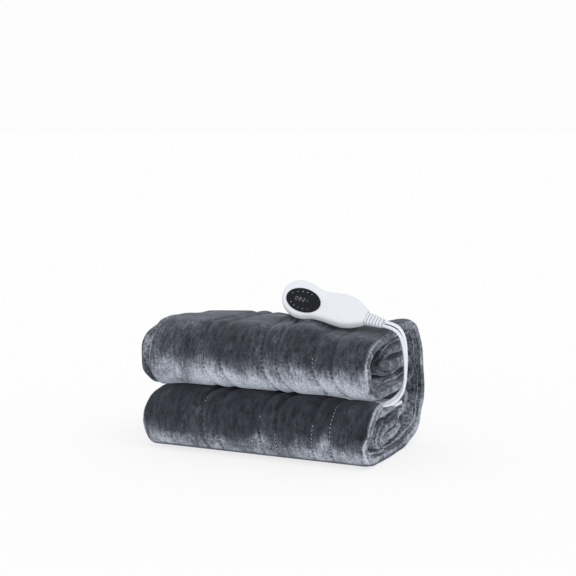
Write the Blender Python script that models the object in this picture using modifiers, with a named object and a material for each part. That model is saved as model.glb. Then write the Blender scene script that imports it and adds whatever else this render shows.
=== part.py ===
"""Electric heated blanket, folded, with its handset lying on it and its mains lead coiled behind it.

The blanket is one plush cloth. It is folded in three across its width, which makes a strip of three
plies, and the strip is then folded back and forth into a lower and an upper bundle that share one
back. X runs along the bundle, Y to its back and Z up, and the underside lies on Z = 0.
"""

import math

import bmesh
import bpy
from mathutils import Vector

MM = 0.001

# The cloth, and the strip of three plies that it is folded into
BUNDLE_LENGTH = 384 * MM
PLY_PITCH = 7.4 * MM
PLY_THICK = 6.4 * MM
SIDE_TURN = (PLY_PITCH + PLY_THICK) / 2
LAYER_GAP = PLY_PITCH - PLY_THICK
# Sewn channels: rows of stitching in pairs round the bundle, and how far they draw the cloth in
STITCH_ROWS = (-87 * MM, -59 * MM, 14 * MM, 40 * MM, 100 * MM, 130 * MM)
STITCH_DIP = 1.3 * MM
DIP_REACH = 9 * MM
PANEL_CROWN = 1.1 * MM
CROWN_REACH = 12 * MM
# The quilting comes on over this height, because the blanket lies flat on the floor
LEVEL_FOOT = 26 * MM

# The handset
HANDSET_HEAD = Vector((41.0, -23.5, 238.6)) * MM
HANDSET_YAW = math.radians(-4.5)
HANDSET_PITCH = math.radians(11)
HANDSET_ROLL = math.radians(47)
HEAD_RADIUS = 34.4 * MM
HALF_DEPTH = 9.2 * MM
DISPLAY_LONG = 58 * MM
DISPLAY_WIDE = 43 * MM
DISPLAY_THICK = 1.4 * MM
DISPLAY_SHIFT = (3.4 * MM, -5.2 * MM)
# The strain relief: its half width and half depth at the shell and at the leads
RELIEF_LENGTH = 25 * MM
RELIEF_ROOT = (11.0 * MM, 7.4 * MM)
RELIEF_TIP = (7.6 * MM, 4.4 * MM)
RELIEF_RIBS = 6
RIB_GROOVE = 1.2 * MM

# The leads, the coil and the plug
CORD_DIAMETER = 5.2 * MM
CORD_SPACING = 7.4 * MM
COIL_MEAN_DIAMETER = 60 * MM
COIL_SIZE = (16.2 * MM, 11.0 * MM)
COIL_CENTRE = Vector((-62 * MM, 186 * MM, 0))
COIL_ROUNDING = 0.32
COIL_FOOT = 1.5 * MM
TIE_WIDTH = 7 * MM
TIE_THICK = 1 * MM
TIE_ROOM = (0.9 * MM, 0.4 * MM)
PLUG_BACK = Vector((-30 * MM, 226.5 * MM, 7.1 * MM))
PIN_LENGTH = 19 * MM
PIN_DIAMETER = 4 * MM
PIN_SPACING = 18.6 * MM
# Pieces that touch are modelled this far apart, and what rests on the floor this far above it
TOUCH_GAP = 0.3 * MM
FLOOR_GAP = 0.1 * MM


def clear_scene():
    for old in list(bpy.data.objects):
        bpy.data.objects.remove(old, do_unlink=True)


def finish(name, colour, roughness, metallic=0.0):
    material = bpy.data.materials.new(name)
    material.use_nodes = True
    shader = material.node_tree.nodes["Principled BSDF"]
    shader.inputs["Base Color"].default_value = (*colour, 1)
    shader.inputs["Roughness"].default_value = roughness
    shader.inputs["Metallic"].default_value = metallic
    return material


def add_object(name, data, material):
    made = bpy.data.objects.new(name, data)
    made.data.materials.append(material)
    collection.objects.link(made)
    return made


def mesh_from(name, points, faces, material):
    mesh = bpy.data.meshes.new(name)
    mesh.from_pydata([tuple(point) for point in points], [], faces)
    mesh.validate()
    body = bmesh.new()
    body.from_mesh(mesh)
    bmesh.ops.recalc_face_normals(body, faces=body.faces)
    body.to_mesh(mesh)
    body.free()
    mesh.shade_smooth()
    mesh.set_sharp_from_angle(angle=math.radians(40))
    return add_object(name, mesh, material)


def lofted(name, rings, material):
    """One closed body through rings that have the same number of points."""
    count = len(rings[0])
    points = [point for ring in rings for point in ring]
    faces = [tuple(range(count)), tuple(range(len(points) - count, len(points)))]
    for step in range(len(rings) - 1):
        for side in range(count):
            after = (side + 1) % count
            low, high = step * count, (step + 1) * count
            faces.append((low + side, low + after, high + after, high + side))
    return mesh_from(name, points, faces, material)


def turned(vector, angle):
    """A flat vector turned by an angle."""
    c, s = math.cos(angle), math.sin(angle)
    return Vector((vector.x * c - vector.y * s, vector.x * s + vector.y * c))


def ease(value):
    """0 below 0, 1 above 1, and smooth between."""
    held = min(1.0, max(0.0, value))
    return held * held * (3 - 2 * held)


# ---- The folded strip -------------------------------------------------------------------------

# Corners of the strip's middle line, seen from the right end, in mm: how far back and how high each
# is, the radius that rounds it, and how far the rim (the right side fold), the loose inner ply's
# right hem, the outer ply's left hem and the left side fold stop short of the bundle's ends there.
# The last number is how far back the strip is tucked at the bundle's right end.
FOLDS = (
    # corner           back   up     round  rim  loose  hem  fold  tuck
    ("lower core end", 47.0, 34.5, 0.0, 12, 20, 8, 0, 0),
    ("lower core low", -97.0, 34.5, 11.7, 9, 20, 8, 0, 20),
    ("lower core high", -97.0, 58.0, 11.7, 6, 14, 8, 0, 20),
    ("lower back low", 77.0, 60.0, 11.9, 16, 24, 8, 0, 0),
    ("lower back high", 77.0, 84.0, 11.9, 12, 22, 8, 0, 0),
    ("lead channel", -58.0, 84.0, 60.0, 6, 14, 8, 0, 0),
    ("lower nose high", -122.0, 91.4, 37.0, 0, 15, 8, 0, 0),
    ("lower nose low", -122.0, 10.6, 37.0, 7, 16, 6, 0, 0),
    ("underside lifts", 44.0, 10.6, 160.0, 12, 18, 5, 0, 0),
    ("back low", 109.0, 24.0, 36.0, 5, 13, 8, 0, 0),
    ("back middle", 124.0, 84.0, 60.0, 0, 10, 8, 0, 0),
    ("back high", 101.0, 165.0, 50.0, 0, 9, 10, 0, 0),
    ("top back", 73.0, 193.0, 30.0, 0, 9, 12, 0, 0),
    ("upper nose high", -118.0, 197.0, 38.0, 1, 10, 12, 0, 0),
    ("upper nose low", -118.0, 115.2, 37.0, 1, 22, 8, 0, 0),
    ("upper back low", 79.0, 114.5, 11.8, 4, 12, 8, 0, 0),
    ("upper back high", 79.0, 138.3, 11.8, 8, 18, 8, 0, 0),
    ("hollow", -21.0, 139.5, 60.0, 14, 24, 8, 0, 10),
    ("upper core low", -91.0, 149.5, 11.7, 22, 30, 8, 0, 30),
    ("upper core high", -91.0, 173.0, 11.7, 8, 16, 8, 0, 40),
    ("upper core end", 51.0, 168.0, 0.0, 8, 16, 8, 0, 0),
)
TUCK_COMES_ON = ((95, 185),)
TURN_STEP = math.radians(26)
RUN_STEP = 45 * MM
# How the stacked cloth gives, in mm: how far it moves up, and the ramps over which that comes on, each
# from the place where it is nothing to the place where it is whole.
SETTLING = (
    # why                        up   over_x                  over_y                  over_z
    ("heaps under the handset", 18.1, ((-38, 10), (140, 40)), ((-55, -17), (66, -14)), ((122, 194),)),
    ("droops to the left end", -8.0, ((-20, -220),), ((-90, 60),), ((60, 200),)),
    ("sags before the handset", -9.0, ((60, 115),), ((8, -52),), ((140, 195),)),
    ("sinks at the left front", -4.0, ((-130, -205),), ((-40, -110),), ((55, 95),)),
    ("rounds off at the left front", -6.0, ((-130, -205),), ((-30, -100),), ((150, 200),)),
)
# The mouth pressed into the lower bundle's right end, where the leads and the connector go in
MOUTH_DEPTH = 15 * MM
MOUTH_TOP = 99.5 * MM
MOUTH_RAMPS = (((105, 180),), ((-86, -62), (60, 16)))


def strip_stations():
    """Stations along the strip: a point of its middle line, the way out, and how it lies at its sides."""
    corners = [Vector((row[1], row[2])) * MM for row in FOLDS]
    radii = [row[3] * MM for row in FOLDS]
    recesses = [[value * MM for value in row[4:]] for row in FOLDS]
    stations = []

    def add(point, heading, recess):
        stations.append((point, Vector((heading.y, -heading.x)), recess))

    left = corners[0]
    left_recess = recesses[0]
    for index in range(1, len(FOLDS)):
        corner = corners[index]
        heading = (corner - corners[index - 1]).normalized()
        if index == len(FOLDS) - 1:
            reach, turn = 0.0, 0.0
        else:
            onward = (corners[index + 1] - corner).normalized()
            turn = math.atan2(heading.cross(onward), heading.dot(onward))
            reach = radii[index] * math.tan(abs(turn) / 2)
        arrive = corner - heading * reach
        run = (arrive - left).length
        pieces = max(1, math.ceil(run / RUN_STEP))
        for piece in range(pieces + (index == len(FOLDS) - 1)):
            share = piece / pieces
            blend = [a + (b - a) * share for a, b in zip(left_recess, recesses[index])]
            add(left.lerp(arrive, share), heading, blend)
        if turn:
            steps = max(2, math.ceil(abs(turn) / TURN_STEP))
            aside = Vector((-heading.y, heading.x)) * math.copysign(radii[index], turn)
            centre = arrive + aside
            for step in range(steps):
                angle = turn * step / steps
                if step:
                    add(centre - turned(aside, angle), turned(heading, angle), recesses[index])
            left = corner + onward * reach
            left_recess = recesses[index]
    return stations


def ramped(value, ramps):
    """The product of ramps, each from 0 at its first place to 1 at its second, in mm."""
    product = 1.0
    for start, stop in ramps:
        product *= ease((value / MM - start) / (stop - start))
    return product


def settle(x, y, z):
    """Where a point of the stacked cloth lies once the cloth has given."""
    up = 0.0
    for _, height, over_x, over_y, over_z in SETTLING:
        up += height * MM * ramped(x, over_x) * ramped(y, over_y) * ramped(z, over_z)
    if z <= MOUTH_TOP:
        up -= MOUTH_DEPTH * ramped(x, MOUTH_RAMPS[0]) * ramped(y, MOUTH_RAMPS[1]) * z / MOUTH_TOP
    return Vector((x, y, z + up))


def quilting(x, up):
    """How far the outer face stands out between the rows of stitching. It is level on the floor."""
    nearest = min(abs(x - row) for row in STITCH_ROWS)
    crown = PANEL_CROWN * ease(nearest / CROWN_REACH) - STITCH_DIP * (1 - ease(nearest / DIP_REACH))
    return crown * ease(up / LEVEL_FOOT) - FLOOR_GAP


def outer_columns(left, right):
    """Where the outer face has its points: on each row of stitching and halfway between the rows."""
    marks = [left, *STITCH_ROWS, right]
    between = [(a + b) / 2 for a, b in zip(marks, marks[1:])]
    return sorted(marks + between)


def ply_ring(recess):
    """The three plies cut across, as (x, out of the strip), once round the cloth."""
    half = BUNDLE_LENGTH / 2
    rim, loose, hem, fold = (half - recess[0], half - recess[1], -half + recess[2], -half + recess[3])
    top, under = PLY_PITCH + PLY_THICK / 2, PLY_PITCH - PLY_THICK / 2
    ring = [(x, top, True) for x in outer_columns(hem + 2 * MM, rim - SIDE_TURN)]
    for degrees in (45, 0, -45):
        bend = turned(Vector((SIDE_TURN, 0)), math.radians(degrees))
        ring.append((rim - SIDE_TURN + bend.x, PLY_PITCH / 2 + bend.y, False))
    columns = [-45 * MM, 35 * MM, 115 * MM]
    fold_end = fold + SIDE_TURN
    back = columns[::-1]
    ring += [(x, -PLY_THICK / 2, False) for x in [rim - SIDE_TURN, *back, fold_end]]
    ring.append((fold_end - LAYER_GAP, -PLY_PITCH / 2, False))
    ring += [(x, -under, False) for x in [fold_end, *columns, loose - 1 * MM]]
    ring.append((loose, -PLY_PITCH, False))
    ring += [(x, -top, False) for x in [loose - 1 * MM, *back, fold_end]]
    for degrees in (-135, 180, 135):
        bend = turned(Vector((SIDE_TURN, 0)), math.radians(degrees))
        ring.append((fold_end + bend.x, bend.y - PLY_PITCH / 2, False))
    ring += [(x, PLY_THICK / 2, False) for x in [fold_end, *columns, rim - SIDE_TURN]]
    ring.append((rim - SIDE_TURN + LAYER_GAP, PLY_PITCH / 2, False))
    ring += [(x, under, False) for x in [rim - SIDE_TURN, *back, hem + 1 * MM]]
    ring.append((hem, PLY_PITCH, False))
    return ring


def blanket():
    rings = []
    for point, out, recess in strip_stations():
        ring = []
        for x, away, outer in ply_ring(recess):
            if outer:
                away += quilting(x, point.y + out.y * away)
            back = point.x + out.x * away + recess[4] * ramped(x, TUCK_COMES_ON)
            ring.append(settle(x, back, point.y + out.y * away))
        rings.append(ring)
    plush = finish("plush", (0.045, 0.048, 0.058), 0.85)
    return lofted("blanket", rings, plush)


# ---- The handset ------------------------------------------------------------------------------

# The shell's outline from the middle of its round head to the leads' end, in mm: how far along it
# is, and its half width and half depth there.
HANDSET_OUTLINE = (
    # along  half_width  half_depth
    (0.0, 34.4, 9.2),
    (14.0, 32.2, 9.2),
    (28.0, 27.2, 9.2),
    (41.0, 24.9, 9.2),
    (53.0, 25.5, 9.8),
    (67.0, 27.0, 10.4),
    (81.0, 26.6, 10.4),
    (95.0, 22.7, 10.0),
    (106.0, 17.4, 9.4),
    (116.0, 13.2, 8.6),
)
# The shell's layers from its back to its face: how far each is drawn in, in mm, and its height as a
# share of the half depth.
SHELL_LAYERS = (
    # drawn_in  height
    (12.0, -1.00),
    (7.6, -0.92),
    (3.8, -0.68),
    (1.1, -0.34),
    (0.0, 0.04),
    (0.5, 0.42),
    (1.9, 0.74),
    (4.2, 0.93),
    (7.0, 1.00),
)
HEAD_STEPS = 9


def handset_axes():
    """The handset's own axes: along it to the leads, across it, and out of its face."""
    flat = math.cos(HANDSET_PITCH)
    along = Vector((math.cos(HANDSET_YAW) * flat, math.sin(HANDSET_YAW) * flat, -math.sin(HANDSET_PITCH)))
    level = Vector((-math.sin(HANDSET_YAW), math.cos(HANDSET_YAW), 0))
    up = along.cross(level)
    across = level * math.cos(HANDSET_ROLL) + up * math.sin(HANDSET_ROLL)
    face = up * math.cos(HANDSET_ROLL) - level * math.sin(HANDSET_ROLL)
    return along, across, face


def on_handset(along, across, face):
    axes = handset_axes()
    return HANDSET_HEAD + axes[0] * along + axes[1] * across + axes[2] * face


def handset_body():
    """The shell, built up in layers. Each runs round the head from corner to corner of the leads' end."""
    shell = finish("white_shell", (0.86, 0.87, 0.90), 0.35)
    points = []
    for drawn_in, height in SHELL_LAYERS:
        side = []
        for along, half_width, half_depth in reversed(HANDSET_OUTLINE[1:]):
            side.append((along * MM, (half_width - drawn_in) * MM, half_depth * height * MM))
        radius = HEAD_RADIUS - drawn_in * MM
        for step in range(HEAD_STEPS):
            angle = math.radians(90) * step / HEAD_STEPS
            side.append((-radius * math.sin(angle), radius * math.cos(angle), HALF_DEPTH * height))
        tip = (-radius, 0.0, HALF_DEPTH * height)
        layer = side + [tip] + [(along, -across, face) for along, across, face in reversed(side)]
        points += [on_handset(*place) for place in layer]
    count = len(layer)
    faces = []
    for level in range(len(SHELL_LAYERS) - 1):
        for place in range(count):
            after = (place + 1) % count
            low, high = level * count, (level + 1) * count
            faces.append((low + place, low + after, high + after, high + place))
    for first in (0, (len(SHELL_LAYERS) - 1) * count):
        for place in range(count // 2 - 1):
            far = count - 1 - place
            faces.append((first + place, first + place + 1, first + far - 1, first + far))
        middle = first + count // 2
        faces.append((middle - 1, middle, middle + 1))
    return mesh_from("handset_body", points, faces, shell)


def oval_ring(half_wide, half_deep, squareness, count):
    """An oval with flattened sides, as (across, out of the face)."""
    ring = []
    for step in range(count):
        angle = 2 * math.pi * step / count
        c, s = math.cos(angle), math.sin(angle)
        wide = half_wide * math.copysign(abs(c) ** (2 / squareness), c)
        ring.append((wide, half_deep * math.copysign(abs(s) ** (2 / squareness), s)))
    return ring


def handset_display():
    """The oval black window. It lies on the flat of the face, and its upper edge is eased."""
    glass = finish("black_window", (0.01, 0.01, 0.012), 0.12)
    rings = []
    for drawn_in, height in ((0.0, 0.0), (0.0, 0.65), (0.5 * MM, 1.0)):
        ring = oval_ring(DISPLAY_LONG / 2 - drawn_in, DISPLAY_WIDE / 2 - drawn_in, 2, 40)
        face = HALF_DEPTH + TOUCH_GAP + DISPLAY_THICK * height
        rings.append(
            [on_handset(along + DISPLAY_SHIFT[0], across + DISPLAY_SHIFT[1], face) for along, across in ring]
        )
    return lofted("handset_display", rings, glass)


def strain_relief():
    """The ribbed sleeve that both leads come out of. It tapers from the shell's end to the leads."""
    rubber = finish("white_sleeve", (0.84, 0.85, 0.88), 0.5)
    root = HANDSET_OUTLINE[-1][0] * MM + TOUCH_GAP
    pitch = RELIEF_LENGTH / RELIEF_RIBS
    rings = []
    for rib in range(RELIEF_RIBS):
        for share, depth in ((0.0, 0.0), (0.5, 0.0), (0.62, RIB_GROOVE), (0.88, RIB_GROOVE)):
            along = pitch * (rib + share)
            taper = along / RELIEF_LENGTH
            half_wide = RELIEF_ROOT[0] + (RELIEF_TIP[0] - RELIEF_ROOT[0]) * taper - depth
            half_deep = RELIEF_ROOT[1] + (RELIEF_TIP[1] - RELIEF_ROOT[1]) * taper - depth
            cut = oval_ring(half_wide, half_deep, 2.6, 16)
            rings.append([on_handset(root + along, across, face) for across, face in cut])
    cut = oval_ring(RELIEF_TIP[0], RELIEF_TIP[1], 2.6, 16)
    rings.append([on_handset(root + RELIEF_LENGTH, across, face) for across, face in cut])
    return lofted("strain_relief", rings, rubber)


# ---- The leads --------------------------------------------------------------------------------

# Each lead's route from the strain relief, in mm. The blanket lead turns round inside the fold and
# comes back to its connector. The mains lead goes on through the fold, out at the left end and
# round to the coil behind the blanket.
BLANKET_LEAD_ROUTE = (
    # x  y  z
    (203.0, -33.4, 207.4),
    (209.6, -31.8, 197.8),
    (212.0, -27.2, 182.6),
    (211.4, -21.2, 160.0),
    (210.0, -18.2, 140.0),
    (208.4, -18.4, 122.4),
    (205.0, -23.8, 108.2),
    (198.8, -33.8, 98.2),
    (187.6, -41.8, 90.2),
    (172.0, -45.0, 87.8),
    (150.0, -47.6, 91.0),
    (126.0, -50.2, 96.8),
    (104.0, -50.0, 98.7),
    (87.2, -43.0, 99.2),
    (80.0, -26.0, 99.2),
    (87.2, -9.0, 99.2),
    (104.0, -2.0, 98.7),
    (119.6, -4.6, 97.3),
    (132.8, -13.0, 94.9),
    (143.4, -20.8, 91.0),
)
MAINS_LEAD_ROUTE = (
    # x  y  z
    (201.4, -38.4, 202.0),
    (208.2, -36.8, 192.6),
    (210.8, -32.6, 178.0),
    (211.6, -27.0, 158.0),
    (211.4, -24.2, 138.0),
    (210.6, -24.6, 120.0),
    (208.0, -31.2, 104.2),
    (201.0, -43.6, 93.0),
    (186.0, -51.0, 87.6),
    (158.0, -55.8, 90.6),
    (125.0, -59.5, 98.0),
    (88.0, -54.0, 99.2),
    (55.0, -30.0, 99.2),
    (10.0, -2.0, 99.2),
    (-60.0, 18.0, 99.0),
    (-140.0, 30.0, 98.8),
    (-194.0, 38.0, 97.2),
    (-217.0, 47.0, 82.0),
    (-224.0, 64.0, 52.0),
    (-223.0, 84.0, 22.0),
    (-214.0, 108.0, 6.0),
    (-190.0, 131.0, 3.1),
    (-155.0, 142.0, 2.9),
    (-126.0, 148.0, 3.0),
    (-109.6, 160.0, 3.8),
    (-103.2, 175.0, 4.6),
)
CONNECTOR_SIZE = (42 * MM, 24 * MM, 5.6 * MM)
CONNECTOR_MIDDLE = Vector((182.0, -24.0, 87.4)) * MM


def smooth_route(points, spacing):
    """Points about evenly spaced along the smooth curve through a route's own points."""
    ends = [points[0] * 2 - points[1], *points, points[-1] * 2 - points[-2]]
    fine = []
    for before, start, stop, after in zip(ends, ends[1:], ends[2:], ends[3:]):
        for step in range(24):
            t = step / 24
            fine.append(
                0.5
                * (
                    2 * start
                    + (stop - before) * t
                    + (2 * before - 5 * start + 4 * stop - after) * t**2
                    + (3 * start - before - 3 * stop + after) * t**3
                )
            )
    fine.append(points[-1])
    travelled = [0.0]
    for start, stop in zip(fine, fine[1:]):
        travelled.append(travelled[-1] + (stop - start).length)
    pieces = round(travelled[-1] / spacing)
    placed = []
    index = 0
    for piece in range(pieces + 1):
        goal = travelled[-1] * piece / pieces
        while index < len(fine) - 2 and travelled[index + 1] < goal:
            index += 1
        share = (goal - travelled[index]) / (travelled[index + 1] - travelled[index])
        placed.append(fine[index].lerp(fine[index + 1], share))
    return placed


def tube(name, points, diameter, material):
    curve = bpy.data.curves.new(name, "CURVE")
    curve.dimensions = "3D"
    curve.bevel_depth = diameter / 2
    curve.bevel_resolution = 2
    curve.use_fill_caps = True
    spline = curve.splines.new("POLY")
    spline.points.add(len(points) - 1)
    for point, place in zip(spline.points, points):
        point.co = (*place, 1)
    return add_object(name, curve, material)


def lead_start(side):
    """Where a lead leaves the strain relief, and 12 mm further on, still straight."""
    root = HANDSET_OUTLINE[-1][0] * MM + RELIEF_LENGTH + 2.5 * TOUCH_GAP
    across = side * CORD_SPACING / 2
    return [on_handset(root, across, 0), on_handset(root + 12 * MM, across, 0)]


def leads():
    white = finish("white_lead", (0.85, 0.86, 0.90), 0.45)
    route = lead_start(1) + [Vector(row) * MM for row in BLANKET_LEAD_ROUTE]
    inner_end = CONNECTOR_MIDDLE - Vector((CONNECTOR_SIZE[0] / 2 + 2 * TOUCH_GAP, 0, 0))
    route += [inner_end - Vector((8 * MM, 0, -0.5 * MM)), inner_end]
    tube("blanket_lead", smooth_route(route, 13 * MM), CORD_DIAMETER, white)
    route = lead_start(-1) + [Vector(row) * MM for row in MAINS_LEAD_ROUTE]
    route.append(COIL_CENTRE + Vector((-coil_outside(), 0, 4.8 * MM)))
    tube("mains_lead", smooth_route(route, 15 * MM), CORD_DIAMETER, white)
    leave = COIL_CENTRE + Vector((2 * MM, coil_outside(), 0))
    end = PLUG_BACK - Vector((1.5 * TOUCH_GAP, 0, 0))
    leave.z = end.z
    route = [leave, leave.lerp(end, 0.3), end - Vector((9 * MM, 0, 0)), end]
    tube("mains_lead_end", smooth_route(route, 8 * MM), CORD_DIAMETER, white)


def rounded_box(name, size, centre, radius, material):
    body = bmesh.new()
    bmesh.ops.create_cube(body, size=1)
    bmesh.ops.scale(body, vec=size, verts=body.verts)
    bmesh.ops.translate(body, vec=centre, verts=body.verts)
    mesh = bpy.data.meshes.new(name)
    body.to_mesh(mesh)
    body.free()
    made = add_object(name, mesh, material)
    bevel = made.modifiers.new("rounding", "BEVEL")
    bevel.width = radius
    bevel.segments = 3
    return made


def blanket_connector():
    white = finish("white_connector", (0.86, 0.87, 0.90), 0.4)
    rounded_box("blanket_connector", CONNECTOR_SIZE, CONNECTOR_MIDDLE, 2 * MM, white)


# ---- The coil and the plug --------------------------------------------------------------------


def coil_outside():
    """How far from the coil's centre a lead's middle runs as it lies against the ring."""
    return COIL_MEAN_DIAMETER / 2 + COIL_SIZE[0] / 2 + TOUCH_GAP + CORD_DIAMETER / 2


def turned_ring(name, centre, mean_radius, wide, high, foot, material):
    """A ring turned from a rounded section. Its lowest edge is at the foot's height."""
    corner = min(wide, high) * COIL_ROUNDING
    profile = []
    for x_side, z_side, start in ((1, 1, 90), (1, -1, 0), (-1, -1, -90), (-1, 1, -180)):
        for step in range(3):
            angle = math.radians(start - 45 * step)
            x = mean_radius + x_side * (wide / 2 - corner) + corner * math.cos(angle)
            profile.append((x, 0, foot + high / 2 + z_side * (high / 2 - corner) + corner * math.sin(angle)))
    mesh = bpy.data.meshes.new(name)
    edges = [(index, (index + 1) % len(profile)) for index in range(len(profile))]
    mesh.from_pydata(profile, edges, [])
    made = add_object(name, mesh, material)
    made.location = centre
    screw = made.modifiers.new("turned", "SCREW")
    screw.steps = screw.render_steps = 24
    screw.use_merge_vertices = True
    screw.merge_threshold = 0.01 * MM
    return made


def mains_coil():
    white = finish("white_coil", (0.85, 0.86, 0.90), 0.45)
    wide, high = COIL_SIZE
    turned_ring("mains_coil", COIL_CENTRE, COIL_MEAN_DIAMETER / 2, wide, high, COIL_FOOT, white)


def coil_tie():
    """A flat band round the coil's right side."""
    black = finish("black_tie", (0.02, 0.02, 0.022), 0.6)
    wide, high = COIL_SIZE
    middle = COIL_CENTRE + Vector((COIL_MEAN_DIAMETER / 2, 0, COIL_FOOT + high / 2))
    rings = []
    for side, grown in ((-1, 0.0), (-1, TIE_THICK), (1, TIE_THICK), (1, 0.0)):
        around = oval_ring(wide / 2 + TIE_ROOM[0] + grown, high / 2 + TIE_ROOM[1] + grown, 5, 24)
        rings.append([middle + Vector((out, side * TIE_WIDTH / 2, up)) for out, up in around])
    count = len(rings[0])
    points = [point for ring in rings for point in ring]
    faces = []
    for step in range(4):
        for place in range(count):
            after = (place + 1) % count
            low, high_ring = step * count, (step + 1) % 4 * count
            faces.append((low + place, low + after, high_ring + after, high_ring + place))
    mesh_from("coil_tie", points, faces, black)


# The plug's moulded body from its sleeve to its face, in mm: how far along it is, and its half width
# and half height there.
PLUG_STATIONS = (
    # along  half_width  half_height
    (0.0, 3.9, 3.9),
    (12.0, 4.8, 4.6),
    (18.0, 9.0, 6.0),
    (26.0, 12.8, 7.0),
    (47.0, 13.4, 7.0),
    (49.0, 12.4, 6.2),
)


def mains_plug():
    white = finish("white_plug", (0.86, 0.87, 0.90), 0.4)
    metal = finish("plated_pin", (0.75, 0.74, 0.72), 0.25, 1.0)
    rings = []
    for along, half_width, half_height in PLUG_STATIONS:
        cut = oval_ring(half_width * MM, half_height * MM, 3, 20)
        rings.append([PLUG_BACK + Vector((along * MM, across, up)) for across, up in cut])
    lofted("mains_plug", rings, white)
    face = PLUG_STATIONS[-1][0] * MM + TOUCH_GAP
    for number, side in ((1, -1), (2, 1)):
        body = bmesh.new()
        radius = PIN_DIAMETER / 2
        bmesh.ops.create_cone(
            body, cap_ends=True, segments=16, radius1=radius, radius2=radius, depth=PIN_LENGTH
        )
        mesh = bpy.data.meshes.new(f"plug_pin_{number}")
        body.to_mesh(mesh)
        body.free()
        pin = add_object(f"plug_pin_{number}", mesh, metal)
        pin.rotation_euler = (0, math.radians(90), 0)
        pin.location = PLUG_BACK + Vector((face + PIN_LENGTH / 2, side * PIN_SPACING / 2, 0))
        rounding = pin.modifiers.new("rounding", "BEVEL")
        rounding.width = 0.6 * MM
        rounding.segments = 2


clear_scene()
collection = bpy.data.collections.new("electric_heated_blanket")
bpy.context.scene.collection.children.link(collection)
blanket()
handset_body()
handset_display()
strain_relief()
leads()
blanket_connector()
mains_coil()
coil_tie()
mains_plug()
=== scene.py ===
"""Electric heated blanket, folded, with its handset lying on it: the looks of every piece.

Metres throughout: X runs along the folded bundle to the end where the leads come out, Y to its back
and Z up. The sections follow the object as it is put together.
"""

import math

import bmesh
import bpy
import numpy as np
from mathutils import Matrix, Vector, noise


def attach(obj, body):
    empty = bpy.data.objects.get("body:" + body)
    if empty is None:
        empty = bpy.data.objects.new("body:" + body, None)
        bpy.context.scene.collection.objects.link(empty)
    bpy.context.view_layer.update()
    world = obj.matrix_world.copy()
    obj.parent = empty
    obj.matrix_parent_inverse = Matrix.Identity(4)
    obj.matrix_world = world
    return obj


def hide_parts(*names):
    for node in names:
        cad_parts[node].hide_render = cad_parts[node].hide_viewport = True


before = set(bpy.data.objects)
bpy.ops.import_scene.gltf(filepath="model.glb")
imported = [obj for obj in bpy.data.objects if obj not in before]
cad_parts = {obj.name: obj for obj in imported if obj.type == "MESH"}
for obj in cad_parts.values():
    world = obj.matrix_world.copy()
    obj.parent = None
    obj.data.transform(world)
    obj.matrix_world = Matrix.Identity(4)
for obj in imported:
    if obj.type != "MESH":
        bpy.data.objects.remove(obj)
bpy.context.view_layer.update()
MM = 0.001

# ---- Camera -------------------------------------------------------------------------------------
# A long lens to the right of the front and a little above it. It looks a little past the middle of
# the bundle, which sets where the bundle lies in the frame.
AIM = Vector((0, -11, 100)) * MM
STANDS_AT = (math.radians(25), math.radians(11))
FACES = (math.radians(24.841), math.radians(6.986))
CAMERA_DISTANCE = 2.2


def linked(name, data):
    """An object made of that data, in the scene."""
    made = bpy.data.objects.new(name, data)
    bpy.context.scene.collection.objects.link(made)
    return made


azimuth, elevation = STANDS_AT
away = Vector((math.sin(azimuth), -math.cos(azimuth), 0)) * math.cos(elevation)
away.z = math.sin(elevation)
camera = linked("camera", bpy.data.cameras.new("camera"))
camera.data.lens = 85
camera.data.sensor_width = 36
camera.data.dof.use_dof = False
camera.location = AIM + away * CAMERA_DISTANCE
camera.rotation_euler = (math.pi / 2 - FACES[1], 0, FACES[0])
bpy.context.scene.camera = camera
bpy.context.scene.view_settings.view_transform = "Standard"

# ---- Mains lead ---------------------------------------------------------------------------------
# Round two-core flex in a satin white sheath. It leaves the handset's strain relief, dips into the
# fold, comes out at the left end and lies behind the blanket in a tied coil, with its plug beside it.
LEAD_DIAMETER = 5.2 * MM
LEAD_SPACING = 7.4 * MM
HANDSET_HEAD = Vector((41.0, -23.5, 238.6)) * MM
HANDSET_YAW = math.radians(-4.5)
HANDSET_PITCH = math.radians(11)
HANDSET_ROLL = math.radians(47)
RELIEF_END = 141.75 * MM
MAINS_LEAD_ROUTE = (
    # x  y  z, in mm
    (201.4, -38.4, 202.0),
    (208.2, -36.8, 192.6),
    (210.8, -32.6, 178.0),
    (211.6, -27.0, 158.0),
    (211.4, -24.2, 138.0),
    (210.6, -24.6, 120.0),
    (208.0, -31.2, 104.2),
    (201.0, -43.6, 93.0),
    (186.0, -51.0, 87.6),
    (158.0, -55.8, 90.6),
    (125.0, -59.5, 98.0),
    (88.0, -54.0, 99.2),
    (55.0, -30.0, 99.2),
    (10.0, -2.0, 99.2),
    (-60.0, 18.0, 99.0),
    (-140.0, 30.0, 98.8),
    (-194.0, 38.0, 97.2),
    (-217.0, 47.0, 82.0),
    (-224.0, 64.0, 52.0),
    (-223.0, 84.0, 22.0),
    (-214.0, 108.0, 6.0),
    (-190.0, 131.0, 3.1),
    (-155.0, 142.0, 2.9),
    (-126.0, 148.0, 3.0),
    (-109.6, 160.0, 3.8),
    (-103.2, 175.0, 4.6),
)
COIL_CENTRE = Vector((-62, 186, 0)) * MM
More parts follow.
